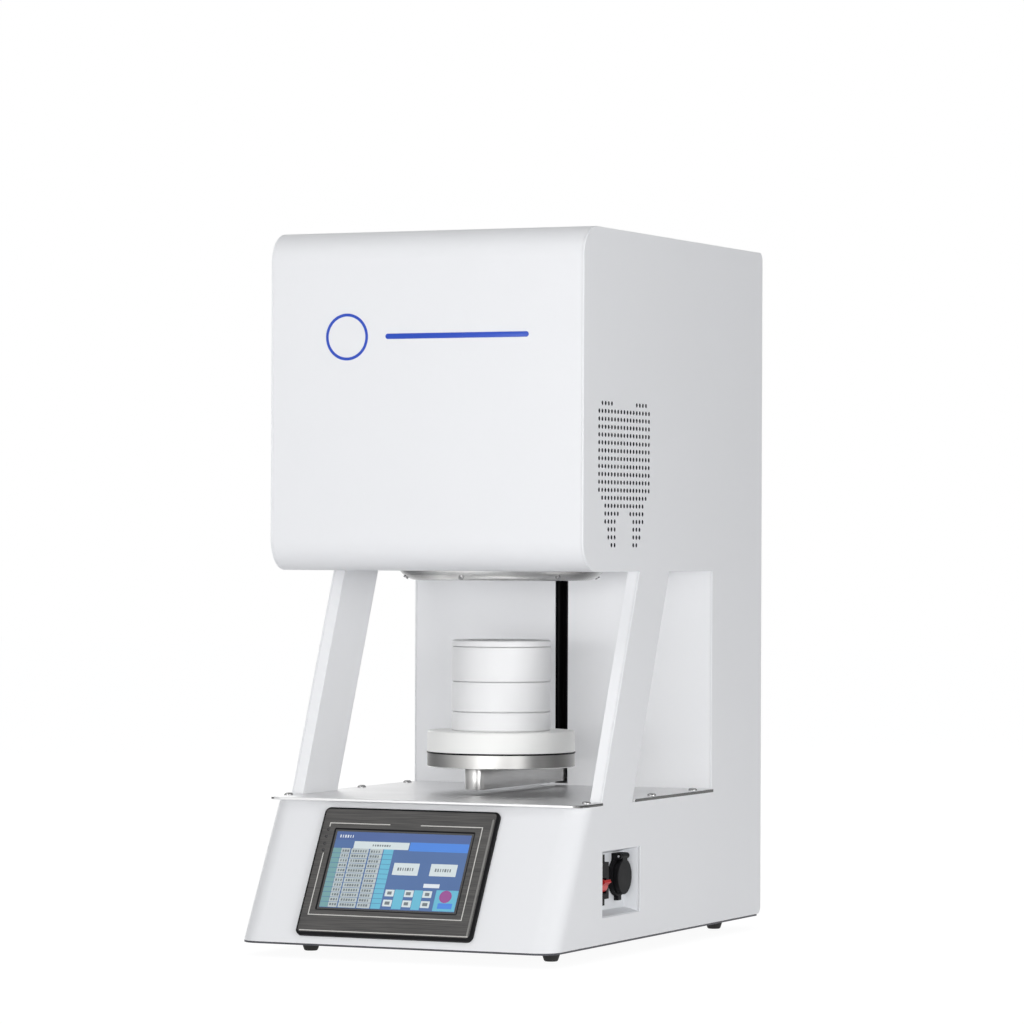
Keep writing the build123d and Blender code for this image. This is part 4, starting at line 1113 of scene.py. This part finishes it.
@dataclass
class Worktop:
    """The brushed steel plate on the base, its button screws, and the rubber feet.

    Attributes:
        level: The plate's upper face.
        edge: Rounding of the plate's and the feet's edges.
        screw_x: Distance of the screws from the middle.
        screw_y: Their places along the depth.
        screw_head: Radius and height of their heads.
        side_lean: Sideways part of the normal from which an edge face is a side one.
        flat_lean: Upward part of the normal below which a face is an edge face.
        foot_x: Distance of the feet from the middle.
        foot_y: Their places along the depth.
        foot_taper: How much narrower a foot is at the floor than at its top.
    """

    level: float = 0.153
    edge: float = 0.0004
    screw_x: float = 0.1625
    screw_y: Point3 = (-0.1735, -0.0095, 0.0985)
    screw_head: Point2 = (0.0045, 0.0024)
    # side_lean: Sideways part of the normal from which an edge face is a side one, with the painted dark
    # reflection.
    side_lean: float = 0.55
    flat_lean: float = 0.9
    foot_x: float = 0.1307
    foot_y: Point2 = (-0.1850, 0.2365)
    foot_taper: float = 0.30

    def feet(self) -> None:
        """Dresses the rubber feet, with the taper that they narrow to the floor by."""
        piece = dressed("feet", RUBBER, "rubber_foot", self.edge)
        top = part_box("feet")[1].z
        for vert in piece.data.vertices:
            centre_x = math.copysign(self.foot_x, vert.co.x)
            centre_y = self.foot_y[0] if vert.co.y < 0 else self.foot_y[1]
            width = 1 - self.foot_taper * (1 - vert.co.z / top)
            vert.co.x = centre_x + (vert.co.x - centre_x) * width
            vert.co.y = centre_y + (vert.co.y - centre_y) * width

    def build(self) -> None:
        """Dresses the plate, with a painted dark reflection on its side edges, and the feet, and places the
        screws.
        """
        plate = dressed("base_top_plate", BRUSHED_STEEL, "stainless", self.edge, edge_finish=POLISHED_EDGE)
        plate.data.materials.append(PAINTED_DARK_EDGE.material())
        # Side edge faces take the near-black finish: painted reflection.
        for face in plate.data.polygons:
            if abs(face.normal.x) > self.side_lean and abs(face.normal.z) < self.flat_lean:
                face.material_index = 2
        points = [(side * self.screw_x, y, self.level) for side in (-1, 1) for y in self.screw_y]
        screw_field("worktop_screws", points, (0, 0, 1), *self.screw_head, ["plate_screws"])
        self.feet()


@dataclass
class TouchPanel:
    """The touch panel on the slanted front: bezel, inlay lines, lenses, glass and the picture shown.

    Boxes, places and rims on the slope are in millimetres, the rest in metres.

    Attributes:
        foot: Y and Z of the slope's lower edge.
        run: Horizontal run and rise of the slope.
        glass: Height of the glass over the slope.
        rim: Height of the bezel's face over the slope.
        layer: Step between layers of the picture.
        line: Left, low, right and high side of the inlay line round the screen.
        line_half: Half of that line's width.
        line_gap: Levels between which its left side is open beside the lenses.
        line_top: X between which its upper side is open.
        rim_highlight: Left, low, right and high side of the painted highlight along the bezel's low and right
            rim.
        glint: Width of that painted highlight on the right.
        bezel_box: Left, low, right and high side of the bezel.
        window_box: The same for its window.
        bezel_rims: Inset, corner radius and height of the bezel's loops, from its foot to its face.
        window_rims: Outset, corner radius and height of the window's loops, from the face to its foot.
        corner_steps: Faces round a corner.
        tile_cut: The most that a tile's corners are cut by.
        lenses: Places of the indicator lenses.
        lens_profile: Radius and height of a lens.
        lens_steps: Faces round it.
        start_key: X, Y and radius of the picture's round key.
        start_steps: Points round it.
    """

    foot: Point2 = (-0.2705, 0.015)
    run: Point2 = (0.0755, 0.135)
    glass: float = 0.0042
    rim: float = 0.005
    layer: float = 0.00004
    line: Box2 = (-95.4, 29.0, 69.7, 128.0)
    line_half: float = 0.5
    line_gap: Point2 = (95.5, 124.0)
    line_top: Point2 = (-30.1, 3.2)
    rim_highlight: Box2 = (-101.0, 11.6, 80.4, 137.0)
    glint: float = 2.0
    bezel_box: Box2 = (-105.6, 8.0, 84.4, 146.0)
    window_box: Box2 = (-88.2, 35.3, 62.2, 121.7)
    bezel_rims: tuple[Point3, ...] = (
        (0.0, 6.0, 0.0), (0.0, 6.0, 3.2), (0.4, 5.6, 3.8), (1.3, 4.7, 4.5), (2.6, 3.4, 5.0),
    )
    window_rims: tuple[Point3, ...] = ((1.2, 1.4, 5.0), (0.3, 0.6, 4.8), (0.0, 0.3, 4.4), (0.0, 0.3, 0.0))
    corner_steps: int = 8
    tile_cut: float = 0.35
    lenses: tuple[Point2, ...] = ((-96.2, 121.0), (-96.6, 113.4), (-96.6, 105.6), (-96.4, 98.6))
    lens_profile: tuple[Point2, ...] = (
        (0.0, 0.0), (0.0016, 0.0), (0.0015, 0.0003), (0.0009, 0.00045), (0.0, 0.0005),
    )
    lens_steps: int = 20
    start_key: Point3 = (47.0, 53.4, 6.6)
    start_steps: int = 48

    def place(self) -> Matrix:
        """The slope's plane: X across, Y up the slope, Z out of it.

        Returns:
            The matrix from the plane to the frame.
        """
        length = math.hypot(*self.run)
        lean, rise = self.run[0] / length, self.run[1] / length
        return Matrix((
            (1.0, 0.0, 0.0, 0.0),
            (0.0, lean, -rise, self.foot[0]),
            (0.0, rise, lean, self.foot[1]),
            (0.0, 0.0, 0.0, 1.0),
        ))

    def corner_loop(self, box: Box2, grow: float, radius: float) -> list[Point2]:
        """A rounded rectangle on the slope, with as many points for each size.

        Args:
            box: Its left, low, right and high side.
            grow: How far each side lies outside the box.
            radius: Radius of its corners.

        Returns:
            The points.
        """
        left, low = box[0] - grow + radius, box[1] - grow + radius
        right, high = box[2] + grow - radius, box[3] + grow - radius
        loop = []
        for index, corner in enumerate(((right, high), (left, high), (left, low), (right, low))):
            loop += arc(corner, radius, QUARTER * index, QUARTER, self.corner_steps)
        return loop

    def bezel(self) -> None:
        """The bezel: a brushed face between rounded rims, open where the screen is."""
        sizes = [(self.bezel_box, -inset, radius, height) for inset, radius, height in self.bezel_rims]
        sizes += [(self.window_box, outset, radius, height) for outset, radius, height in self.window_rims]
        loops = [
            [(x / MM, y / MM, height / MM) for x, y in self.corner_loop(box, grow, radius)]
            for box, grow, radius, height in sizes
        ]
        slots = [1] * len(loops)
        slots[len(self.bezel_rims) - 1] = 0
        mesh = skinned(loops, closed=True, slots=slots)
        finishes = (BEZEL, BLACK_PLASTIC)
        piece = new_piece("touch_panel_bezel_rimmed", mesh, *finishes, place=self.place(), even=True)
        settle(piece, ["touch_panel_bezel"])

    def outlines(
        self, name: str, height: float, outlines: Sequence[tuple[Sequence[Point2], int]], *finishes: Finish
    ) -> None:
        """Flat patches on one level.

        Args:
            name: The piece's name.
            height: Their level over the slope.
            outlines: The outline of each and the index of its finish.
            finishes: The finishes.
        """
        mesh = bmesh.new()
        for outline, index in outlines:
            face = mesh.faces.new([mesh.verts.new((x / MM, y / MM, height)) for x, y in outline])
            face.material_index = index
        settle(new_piece(name, mesh, *finishes, place=self.place(), smooth=False))

    def tiles(
        self, name: str, height: float, patches: Sequence[tuple[float, float, float, float, int]],
        *finishes: Finish,
    ) -> None:
        """Rectangles with cut corners on one level.

        Args:
            name: The piece's name.
            height: Their level over the slope.
            patches: Left, low, right and high side, and the index of the finish.
            finishes: The finishes.
        """
        outlines = []
        for left, low, right, high, index in patches:
            cut = min(self.tile_cut, (right - left) / 6, (high - low) / 6)
            outlines.append(([
                (left + cut, low), (right - cut, low), (right, low + cut), (right, high - cut),
                (right - cut, high), (left + cut, high), (left, high - cut), (left, low + cut),
            ], index))
        self.outlines(name, height, outlines, *finishes)

    def marks(self, name: str, height: float, corner: Point2, finish: Finish, *sizes: float) -> None:
        """A field of small marks made by the cell tree.

        Args:
            name: The piece's name.
            height: Level over the slope.
            corner: Centre of the first mark.
            finish: The finish.
            sizes: Columns, rows, pitch along X and Y, greatest width, height, least width and seed.
        """
        keys = ("Columns", "Rows", "Pitch_X", "Pitch_Y", "Width", "Height", "Least_Width", "Seed")
        carrier = point_cloud(name, [])
        FieldKit.grown(carrier, FieldKit.cells(), Finish=finish.material(), **dict(zip(keys, sizes)))
        carrier.data.transform(Matrix.Translation((corner[0] / MM, corner[1] / MM, height)))
        carrier.data.transform(self.place())
        settle(carrier)

    def picture(self) -> None:
        """What the screen shows: bars, a table, buttons, icon keys and a start key, with no words."""
        blue = lit("shown_blue", (0.050, 0.108, 0.245), (0.038, 0.080, 0.20))
        header = lit("shown_header", (0.045, 0.085, 0.225), (0.035, 0.070, 0.19))
        bright = lit("shown_bright_blue", (0.045, 0.165, 0.50), (0.035, 0.13, 0.42))
        grey = lit("shown_grey", (0.36, 0.40, 0.40), (0.26, 0.30, 0.31))
        pale = lit("shown_pale", (0.46, 0.51, 0.52), (0.38, 0.43, 0.44))
        teal = lit("shown_teal", (0.115, 0.24, 0.25), (0.09, 0.20, 0.21))
        cyan = lit("shown_cyan", (0.095, 0.34, 0.45), (0.07, 0.26, 0.37))
        ink = lit("shown_ink", (0.13, 0.155, 0.17), glow=0.4)
        white = lit("shown_white", (0.56, 0.60, 0.64))
        magenta = lit("shown_magenta", (0.22, 0.050, 0.20), (0.17, 0.04, 0.16))
        fields, bars, keys, marks = (self.glass + self.layer * step for step in (1, 2, 3, 4))
        self.tiles("screen_fields", fields, [(-85.9, 37.4, 59.9, 119.5, 0)], blue)
        self.tiles("screen_bars", bars, [
            (-85.6, 110.6, 59.6, 119.2, 0), (-3.6, 100.6, 59.6, 110.0, 1), (-86.0, 38.0, -77.2, 101.6, 2),
            (-76.9, 38.0, -67.2, 101.6, 3), (-66.0, 38.0, -47.0, 101.6, 3), (-45.6, 38.0, -31.6, 101.6, 3),
            (-30.6, 38.0, -20.2, 101.6, 4), (-8.2, 38.4, 2.0, 59.2, 4), (12.6, 38.4, 21.8, 59.2, 4),
            (36.0, 38.0, 59.6, 60.2, 4),
        ], header, bright, teal, grey, cyan)
        self.tiles("screen_keys", keys, [
            (-64.5, 101.6, -4.6, 109.4, 0), (-16.0, 74.6, 11.6, 87.6, 0), (24.0, 74.8, 52.4, 87.8, 0),
            (20.8, 62.2, 38.0, 66.4, 1),
            *((u, v, u + 9.6, v + 7.2, 0) for v in (51.6, 40.8) for u in (-18.4, 2.5, 22.2)),
            (40.6, 40.6, 56.0, 46.4, 2),
        ], pale, white, bright)
        start = circle(self.start_key[:2], self.start_key[2], self.start_steps)
        self.outlines("screen_start_key", marks, [(start, 0)], magenta)
        for name, corner, finish, *sizes in (
            ("screen_rows_a", (-74.6, 41.0), ink, 3, 12, 0.0027, 0.00525, 0.0021, 0.0025, 0.55, 3),
            ("screen_rows_b", (-63.4, 41.0), ink, 6, 12, 0.0027, 0.00525, 0.0022, 0.0025, 0.55, 5),
            ("screen_rows_c", (-43.4, 41.0), ink, 4, 12, 0.0027, 0.00525, 0.0022, 0.0025, 0.55, 11),
            ("screen_rules", (-53.2, 43.6), blue, 1, 11, 0.01, 0.00525, 0.0655, 0.00045, 1.0, 1),
            ("screen_words", (-81.0, 114.4), white, 6, 1, 0.0027, 0.01, 0.0017, 0.0030, 0.5, 9),
            ("screen_key_words_a", (-10.4, 81.0), ink, 7, 1, 0.0026, 0.01, 0.0020, 0.0034, 0.5, 7),
            ("screen_key_words_b", (30.0, 81.2), ink, 7, 1, 0.0026, 0.01, 0.0020, 0.0034, 0.5, 7),
            ("screen_bar_words", (-43.5, 105.4), ink, 8, 1, 0.0026, 0.01, 0.0020, 0.0020, 0.5, 8),
            ("screen_icons", (-13.6, 44.4), ink, 3, 2, 0.0203, 0.0108, 0.0056, 0.0034, 0.8, 4),
        ):
            self.marks(name, marks, corner, finish, *sizes)

    def inlay(self) -> None:
        """The thin silver line round the screen, open at its top and beside the lenses, and the painted
        highlight along the bezel's low and right rim.
        """
        left, low, right, high = self.line
        half = self.line_half
        out_left, out_low, out_right, out_high = self.rim_highlight
        self.tiles("bezel_inlay", self.rim + self.layer, [
            (left - half, low - half, right + half, low + half, 0),
            (right - half, low + half, right + half, high + half, 0),
            (left - half, low + half, left + half, self.line_gap[0], 0),
            (left - half, self.line_gap[1], left + half, high - half, 0),
            (left - half, high - half, self.line_top[0], high + half, 0),
            (self.line_top[1], high - half, right - half, high + half, 0),
            # Painted highlight on the bezel's rounded rim: a silver strip along its foot and a grey one up
            # its right side.
            (out_left, out_low, out_right, out_low + 2 * half, 0),
            (out_right - self.glint, out_low + 2 * half, out_right, out_high, 1),
        ], INLAY_AND_HIGHLIGHT, RIM_HIGHLIGHT)

    def dots(self) -> None:
        """Four small indicator lenses at the left of the line."""
        place = self.place()
        points = [tuple(place @ Vector((x / MM, y / MM, self.rim))) for x, y in self.lenses]
        lens = lathe("indicator_lens", self.lens_profile, (0.0, 0.0, 0.0), BLACK_GLASS, self.lens_steps)
        facing = tuple(place.to_3x3() @ Vector((0, 0, 1)))
        settle(field("indicator_lenses", lens, points, facing, BLACK_GLASS))

    def build(self) -> None:
        """Builds the panel."""
        self.bezel()
        dressed("touch_screen", BLACK_GLASS, "screen")
        dressed("touch_panel_body", BLACK_PLASTIC, "black_plastic", 0.0005)
        self.picture()
        self.inlay()
        self.dots()


class Dressing:
    """An assembly whose pieces are all dressed from their CAD nodes.

    Attributes:
        rows: What dressed() takes for each piece, in order.
    """

    rows: tuple[tuple, ...] = ()

    def build(self) -> None:
        """Dresses the pieces."""
        for row in self.rows:
            dressed(*row)


class Chamber(Dressing):
    """The mouth's polished ring with its screws, and the hot chamber above it."""

    rows = (
        ("mouth_flange", POLISHED_RING, "polished_ring", 0.0003),
        ("flange_screws", FLANGE_SCREW, "stainless", 0.0002),
        ("chamber_insulation", FIBRE, "fibre_board", 0.0006),
        ("chamber_roof", FIBRE, "fibre_board", 0.0004),
        ("chamber_can", BRUSHED_STEEL, "stainless"),
        ("heating_elements", SILICIDE, "silicide"),
        ("element_holders", CERAMIC, "fibre_board", 0.0004),
        ("thermocouple", CERAMIC, "zirconia", 0.0003),
    )


@dataclass
class LiftArm:
    """The lift's arm, and a thin black ring in the joint between disc and plug, a painted shadow of that
    joint.

    Attributes:
        bar_half: Half of the arm's width.
        bar_end: Y at which the wide bar ends.
        bar_edge: Width of its softened edges.
        tongue_half: Half of the tongue's width.
        nose_bend: Radius of the nose's upright bends.
        nose_steps: Faces across one of them.
        gasket_size: Inner and outer radius and half the thickness of that black ring.
    """

    bar_half: float = 0.0105
    bar_end: float = 0.1145
    bar_edge: float = 0.0004
    tongue_half: float = 0.005
    nose_bend: float = 0.0095
    nose_steps: int = 12
    gasket_size: Point3 = (0.0700, 0.0756, 0.0009)

    def arm(self) -> None:
        """Makes the arm: a round-nosed bar with a narrow tongue through the slot."""
        low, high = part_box("lift_arm")
        half, bend = self.bar_half, self.nose_bend
        corner = arc((half - bend, low.y + bend), bend, -QUARTER, QUARTER, self.nose_steps)
        right = [*corner, (half, self.bar_end), (self.tongue_half, self.bar_end), (self.tongue_half, high.y)]
        outline = right + [(-x, y) for x, y in reversed(right)]
        mesh = skinned([[(x, y, z) for x, y in outline] for z in (low.z, high.z)], caps=True)
        round_edges(mesh, self.bar_edge)
        settle(new_piece("lift_arm_round_nosed", mesh, GROUND_BAR), ["lift_arm"], Body.LIFT)

    def painted_joint_shadow(self) -> None:
        """Makes the thin black ring that paints the shadow line between disc and plug."""
        inner, outer, half = self.gasket_size
        profile = [
            (inner, -half), (outer - half / 2, -half), (outer, -half / 2),
            (outer, half / 2), (outer - half / 2, half), (inner, half),
        ]
        centre = (*FURNACE_AXIS[:2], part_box("hearth_disc")[1].z)
        settle(lathe("plug_gasket", profile, centre, BLACK_PLASTIC), body=Body.LIFT)

    def build(self) -> None:
        """Builds both."""
        self.arm()
        self.painted_joint_shadow()


class Hearth(Dressing):
    """What the arm carries: the turned disc, the fibre plug and the stacked crucible."""

    rows = (
        ("hearth_disc", TURNED_STEEL, "stainless", 0.0008, Body.LIFT, POLISHED_EDGE),
        ("insulation_plug", FIBRE, "fibre_board", 0.0016, Body.LIFT),
        ("crucible_base_tray", CERAMIC, "zirconia", 0.0016, Body.LIFT),
        ("crucible_middle_tray", CERAMIC, "zirconia", 0.0016, Body.MIDDLE),
        ("crucible_upper_tray", CERAMIC, "zirconia", 0.0016, Body.UPPER),
        ("crucible_lid", CERAMIC, "zirconia", 0.0024, Body.LID),
    )


class LiftDrive(Dressing):
    """The screw drive in the column."""

    rows = (
        ("drive_channel", DARK_SHEET, "dark_sheet", 0.0003),
        ("lower_bearing_block", ALUMINIUM, "aluminium", 0.0004),
        ("upper_bearing_block", ALUMINIUM, "aluminium", 0.0004),
        ("screw_bearings", CHROME, "stainless", 0.0003),
        ("guide_rods", NEAR_BLACK_ROD, "rod_chrome", 0.0003),
        ("lift_motor", DARK_SHEET, "dark_sheet", 0.0005),
        ("lift_carriage", ALUMINIUM, "aluminium", 0.0004, Body.LIFT),
        ("lift_nut", BRASS, "brass", 0.0003, Body.LIFT),
        ("lead_screw", NEAR_BLACK_ROD, "rod_chrome", 0.0003, Body.SCREW),
        ("shaft_coupling", ALUMINIUM, "aluminium", 0.0003, Body.SCREW),
        ("motor_shaft", NEAR_BLACK_ROD, "rod_chrome", 0.0003, Body.SCREW),
    )


class PowerRecess(Dressing):
    """The recess on the right side with the breaker and the round inlet."""

    rows = (
        ("recess_pocket", POCKET, "pocket_paint", 0.0003),
        ("breaker_body", BLACK_PLASTIC, "black_plastic", 0.0004),
        ("breaker_toggle", RED_PLASTIC, "red_plastic", 0.0004, Body.TOGGLE),
        ("inlet_body", BLACK_PLASTIC, "black_plastic", 0.0004),
        ("inlet_pins", BRASS, "brass", 0.0002),
        ("inlet_hinge_pin", CHROME, "stainless", 0.0002),
        ("inlet_lid", BLACK_PLASTIC, "black_plastic", 0.0004, Body.FLAP),
    )


class Electronics(Dressing):
    """Transformer, board and relay in the base."""

    rows = (
        ("power_transformer", COPPER, "copper_winding", 0.0006),
        ("board_standoffs", BRASS, "brass", 0.0002),
        ("control_board", BOARD, "board_green", 0.0002),
        ("relay_heat_sink", ALUMINIUM, "aluminium", 0.0003),
    )


@dataclass
class Studio:
    """The camera at the photograph's angle, the pale floor, the room and the lamps.

    Attributes:
        eye: The camera's place.
        yaw: Its turn to the left, in degrees.
        pitch: Its upward tilt.
        roll: Its roll.
        lens: Focal length.
        sensor: Width of the sensor.
        clip: Nearest and farthest distance drawn.
        ambient: Light of the room on the object.
        room_tone: Colour of that light.
        room_bands: Place from left to right and brightness of what gloss mirrors.
        floor_size: Half of the floor's width.
        floor_tone: The floor's colour under the lamps.
        floor_glow: Its brightness to the eye.
        floor_share: How much of what is seen is that brightness.
        lamps: Name, place, aim, size and watts of each soft box.
    """

    eye: Point3 = (1.91929, -4.19429, 0.4036)
    yaw: float = 24.559
    pitch: float = 0.421
    roll: float = 0.228
    lens: float = 158.9
    sensor: float = 36.0
    clip: Point2 = (0.1, 60.0)
    ambient: float = 0.42
    room_tone: Shade = (0.97, 0.985, 1.0, 1.0)
    room_bands: tuple[Point2, ...] = (
        (0.0, 0.55), (0.22, 0.9), (0.40, 1.0), (0.50, 0.9),
        (0.62, 0.16), (0.74, 0.10), (0.80, 0.85), (1.0, 0.95),
    )
    floor_size: float = 12.0
    floor_tone: Shade = (0.86, 0.86, 0.87, 1.0)
    floor_glow: float = 1.14
    floor_share: float = 0.82
    lamps: tuple[tuple[str, Point3, Point3, Point2, float], ...] = (
        ("key", (-1.0, -2.4, 2.7), (0.0, -0.1, 0.30), (2.0, 1.6), 9.5),
        ("side", (3.1, -1.8, 0.5), (0.0, 0.1, 0.30), (1.8, 1.0), 41.0),
        ("fill", (0.3, -3.4, 0.34), (0.0, 0.1, 0.25), (2.4, 0.66), 34.0),
        ("behind", (-2.8, 2.8, 1.0), (0.0, 0.0, 0.35), (2.0, 1.4), 18.0),
    )

    def camera(self) -> None:
        """Places the camera."""
        yaw, pitch, roll = (math.radians(value) for value in (self.yaw, self.pitch, self.roll))
        ahead = Vector((-math.sin(yaw) * math.cos(pitch), math.cos(yaw) * math.cos(pitch), math.sin(pitch)))
        right = Vector((math.cos(yaw), math.sin(yaw), 0.0))
        up = right.cross(ahead)
        across = math.cos(roll) * right + math.sin(roll) * up
        upward = -math.sin(roll) * right + math.cos(roll) * up
        data = bpy.data.cameras.new("camera")
        data.lens, data.sensor_width = self.lens, self.sensor
        data.clip_start, data.clip_end = self.clip
        camera = linked("camera", data)
        turn = Matrix((across, upward, -ahead)).transposed().to_4x4()
        camera.matrix_world = Matrix.Translation(self.eye) @ turn
        bpy.context.scene.camera = camera

    def room(self) -> None:
        """The world: white to the eye, pale with soft dark bands to gloss, and an even light on surfaces."""
        world = bpy.data.worlds.new("room")
        bpy.context.scene.world = world
        weave = Weave.cleared(world)
        path = weave.add("ShaderNodeLightPath").outputs
        place = weave.add("ShaderNodeTexCoord").outputs["Generated"]
        across = weave.add("ShaderNodeSeparateXYZ", {0: place}).outputs["X"]
        shift = weave.math("MULTIPLY", weave.math("ADD", across, 1.0), 0.5)
        bands = weave.add("ShaderNodeValToRGB", {"Fac": shift})
        ramp = bands.color_ramp
        while len(ramp.elements) < len(self.room_bands):
            ramp.elements.new(0.5)
        for element, (at, value) in zip(ramp.elements, self.room_bands):
            element.position = at
            element.color = (value, value, value, 1.0)
        even = weave.add("ShaderNodeBackground", {"Color": self.room_tone, "Strength": self.ambient})
        gloss = weave.add("ShaderNodeBackground", {"Color": bands.outputs["Color"]})
        white = weave.add("ShaderNodeBackground", {"Color": WHITE})
        unseen = weave.add("ShaderNodeMixShader", {"Fac": path["Is Glossy Ray"], 1: even, 2: gloss})
        seen = weave.math("MAXIMUM", path["Is Camera Ray"], path["Is Transmission Ray"])
        whole = weave.add("ShaderNodeMixShader", {"Fac": seen, 1: unseen, 2: white})
        weave.add("ShaderNodeOutputWorld", {"Surface": whole})

    def floor(self) -> None:
        """The pale floor, which keeps a faint shadow."""
        mesh = bmesh.new()
        bmesh.ops.create_grid(mesh, x_segments=8, y_segments=8, size=self.floor_size)
        material = bpy.data.materials.new("pale_floor")
        weave = Weave.cleared(material)
        path = weave.add("ShaderNodeLightPath").outputs
        matt = weave.add("ShaderNodeBsdfDiffuse", {"Color": self.floor_tone})
        white = weave.add("ShaderNodeEmission", {"Color": WHITE, "Strength": self.floor_glow})
        seen = weave.math("MAXIMUM", path["Is Camera Ray"], path["Is Glossy Ray"])
        share = weave.math("MULTIPLY", seen, self.floor_share)
        whole = weave.add("ShaderNodeMixShader", {"Fac": share, 1: matt, 2: white})
        weave.add("ShaderNodeOutputMaterial", {"Surface": whole})
        piece = new_piece("floor", mesh, smooth=False)
        piece.data.materials.append(material)

    def lamp(self, name: str, place: Point3, aim: Point3, size: Point2, power: float) -> None:
        """A soft box.

        Args:
            name: The lamp's name.
            place: Where it stands.
            aim: What it points at.
            size: Its width and height.
            power: Its power in watts.
        """
        data = bpy.data.lights.new(name, "AREA")
        data.shape = "RECTANGLE"
        data.size, data.size_y = size
        data.energy = power
        lamp = linked(name, data)
        lamp.location = place
        lamp.rotation_mode = "QUATERNION"
        lamp.rotation_quaternion = (Vector(aim) - Vector(place)).to_track_quat("-Z", "Y")

    def build(self) -> None:
        """Builds the studio."""
        self.camera()
        self.room()
        self.floor()
        for lamp in self.lamps:
            self.lamp(*lamp)
        bpy.context.scene.view_settings.view_transform = "Standard"


def main() -> None:
    """Builds every piece in order."""
    logging.basicConfig(level=logging.INFO, format="%(name)s: %(message)s")
    for assembly in (
        Housing(), Nose(), FrontLight(), Worktop(), TouchPanel(), Chamber(), LiftArm(), Hearth(), LiftDrive(),
        PowerRecess(), Electronics(), Studio(),
    ):
        assembly.build()
        log.info("%s is built", type(assembly).__name__)


if __name__ == "__main__":
    main()
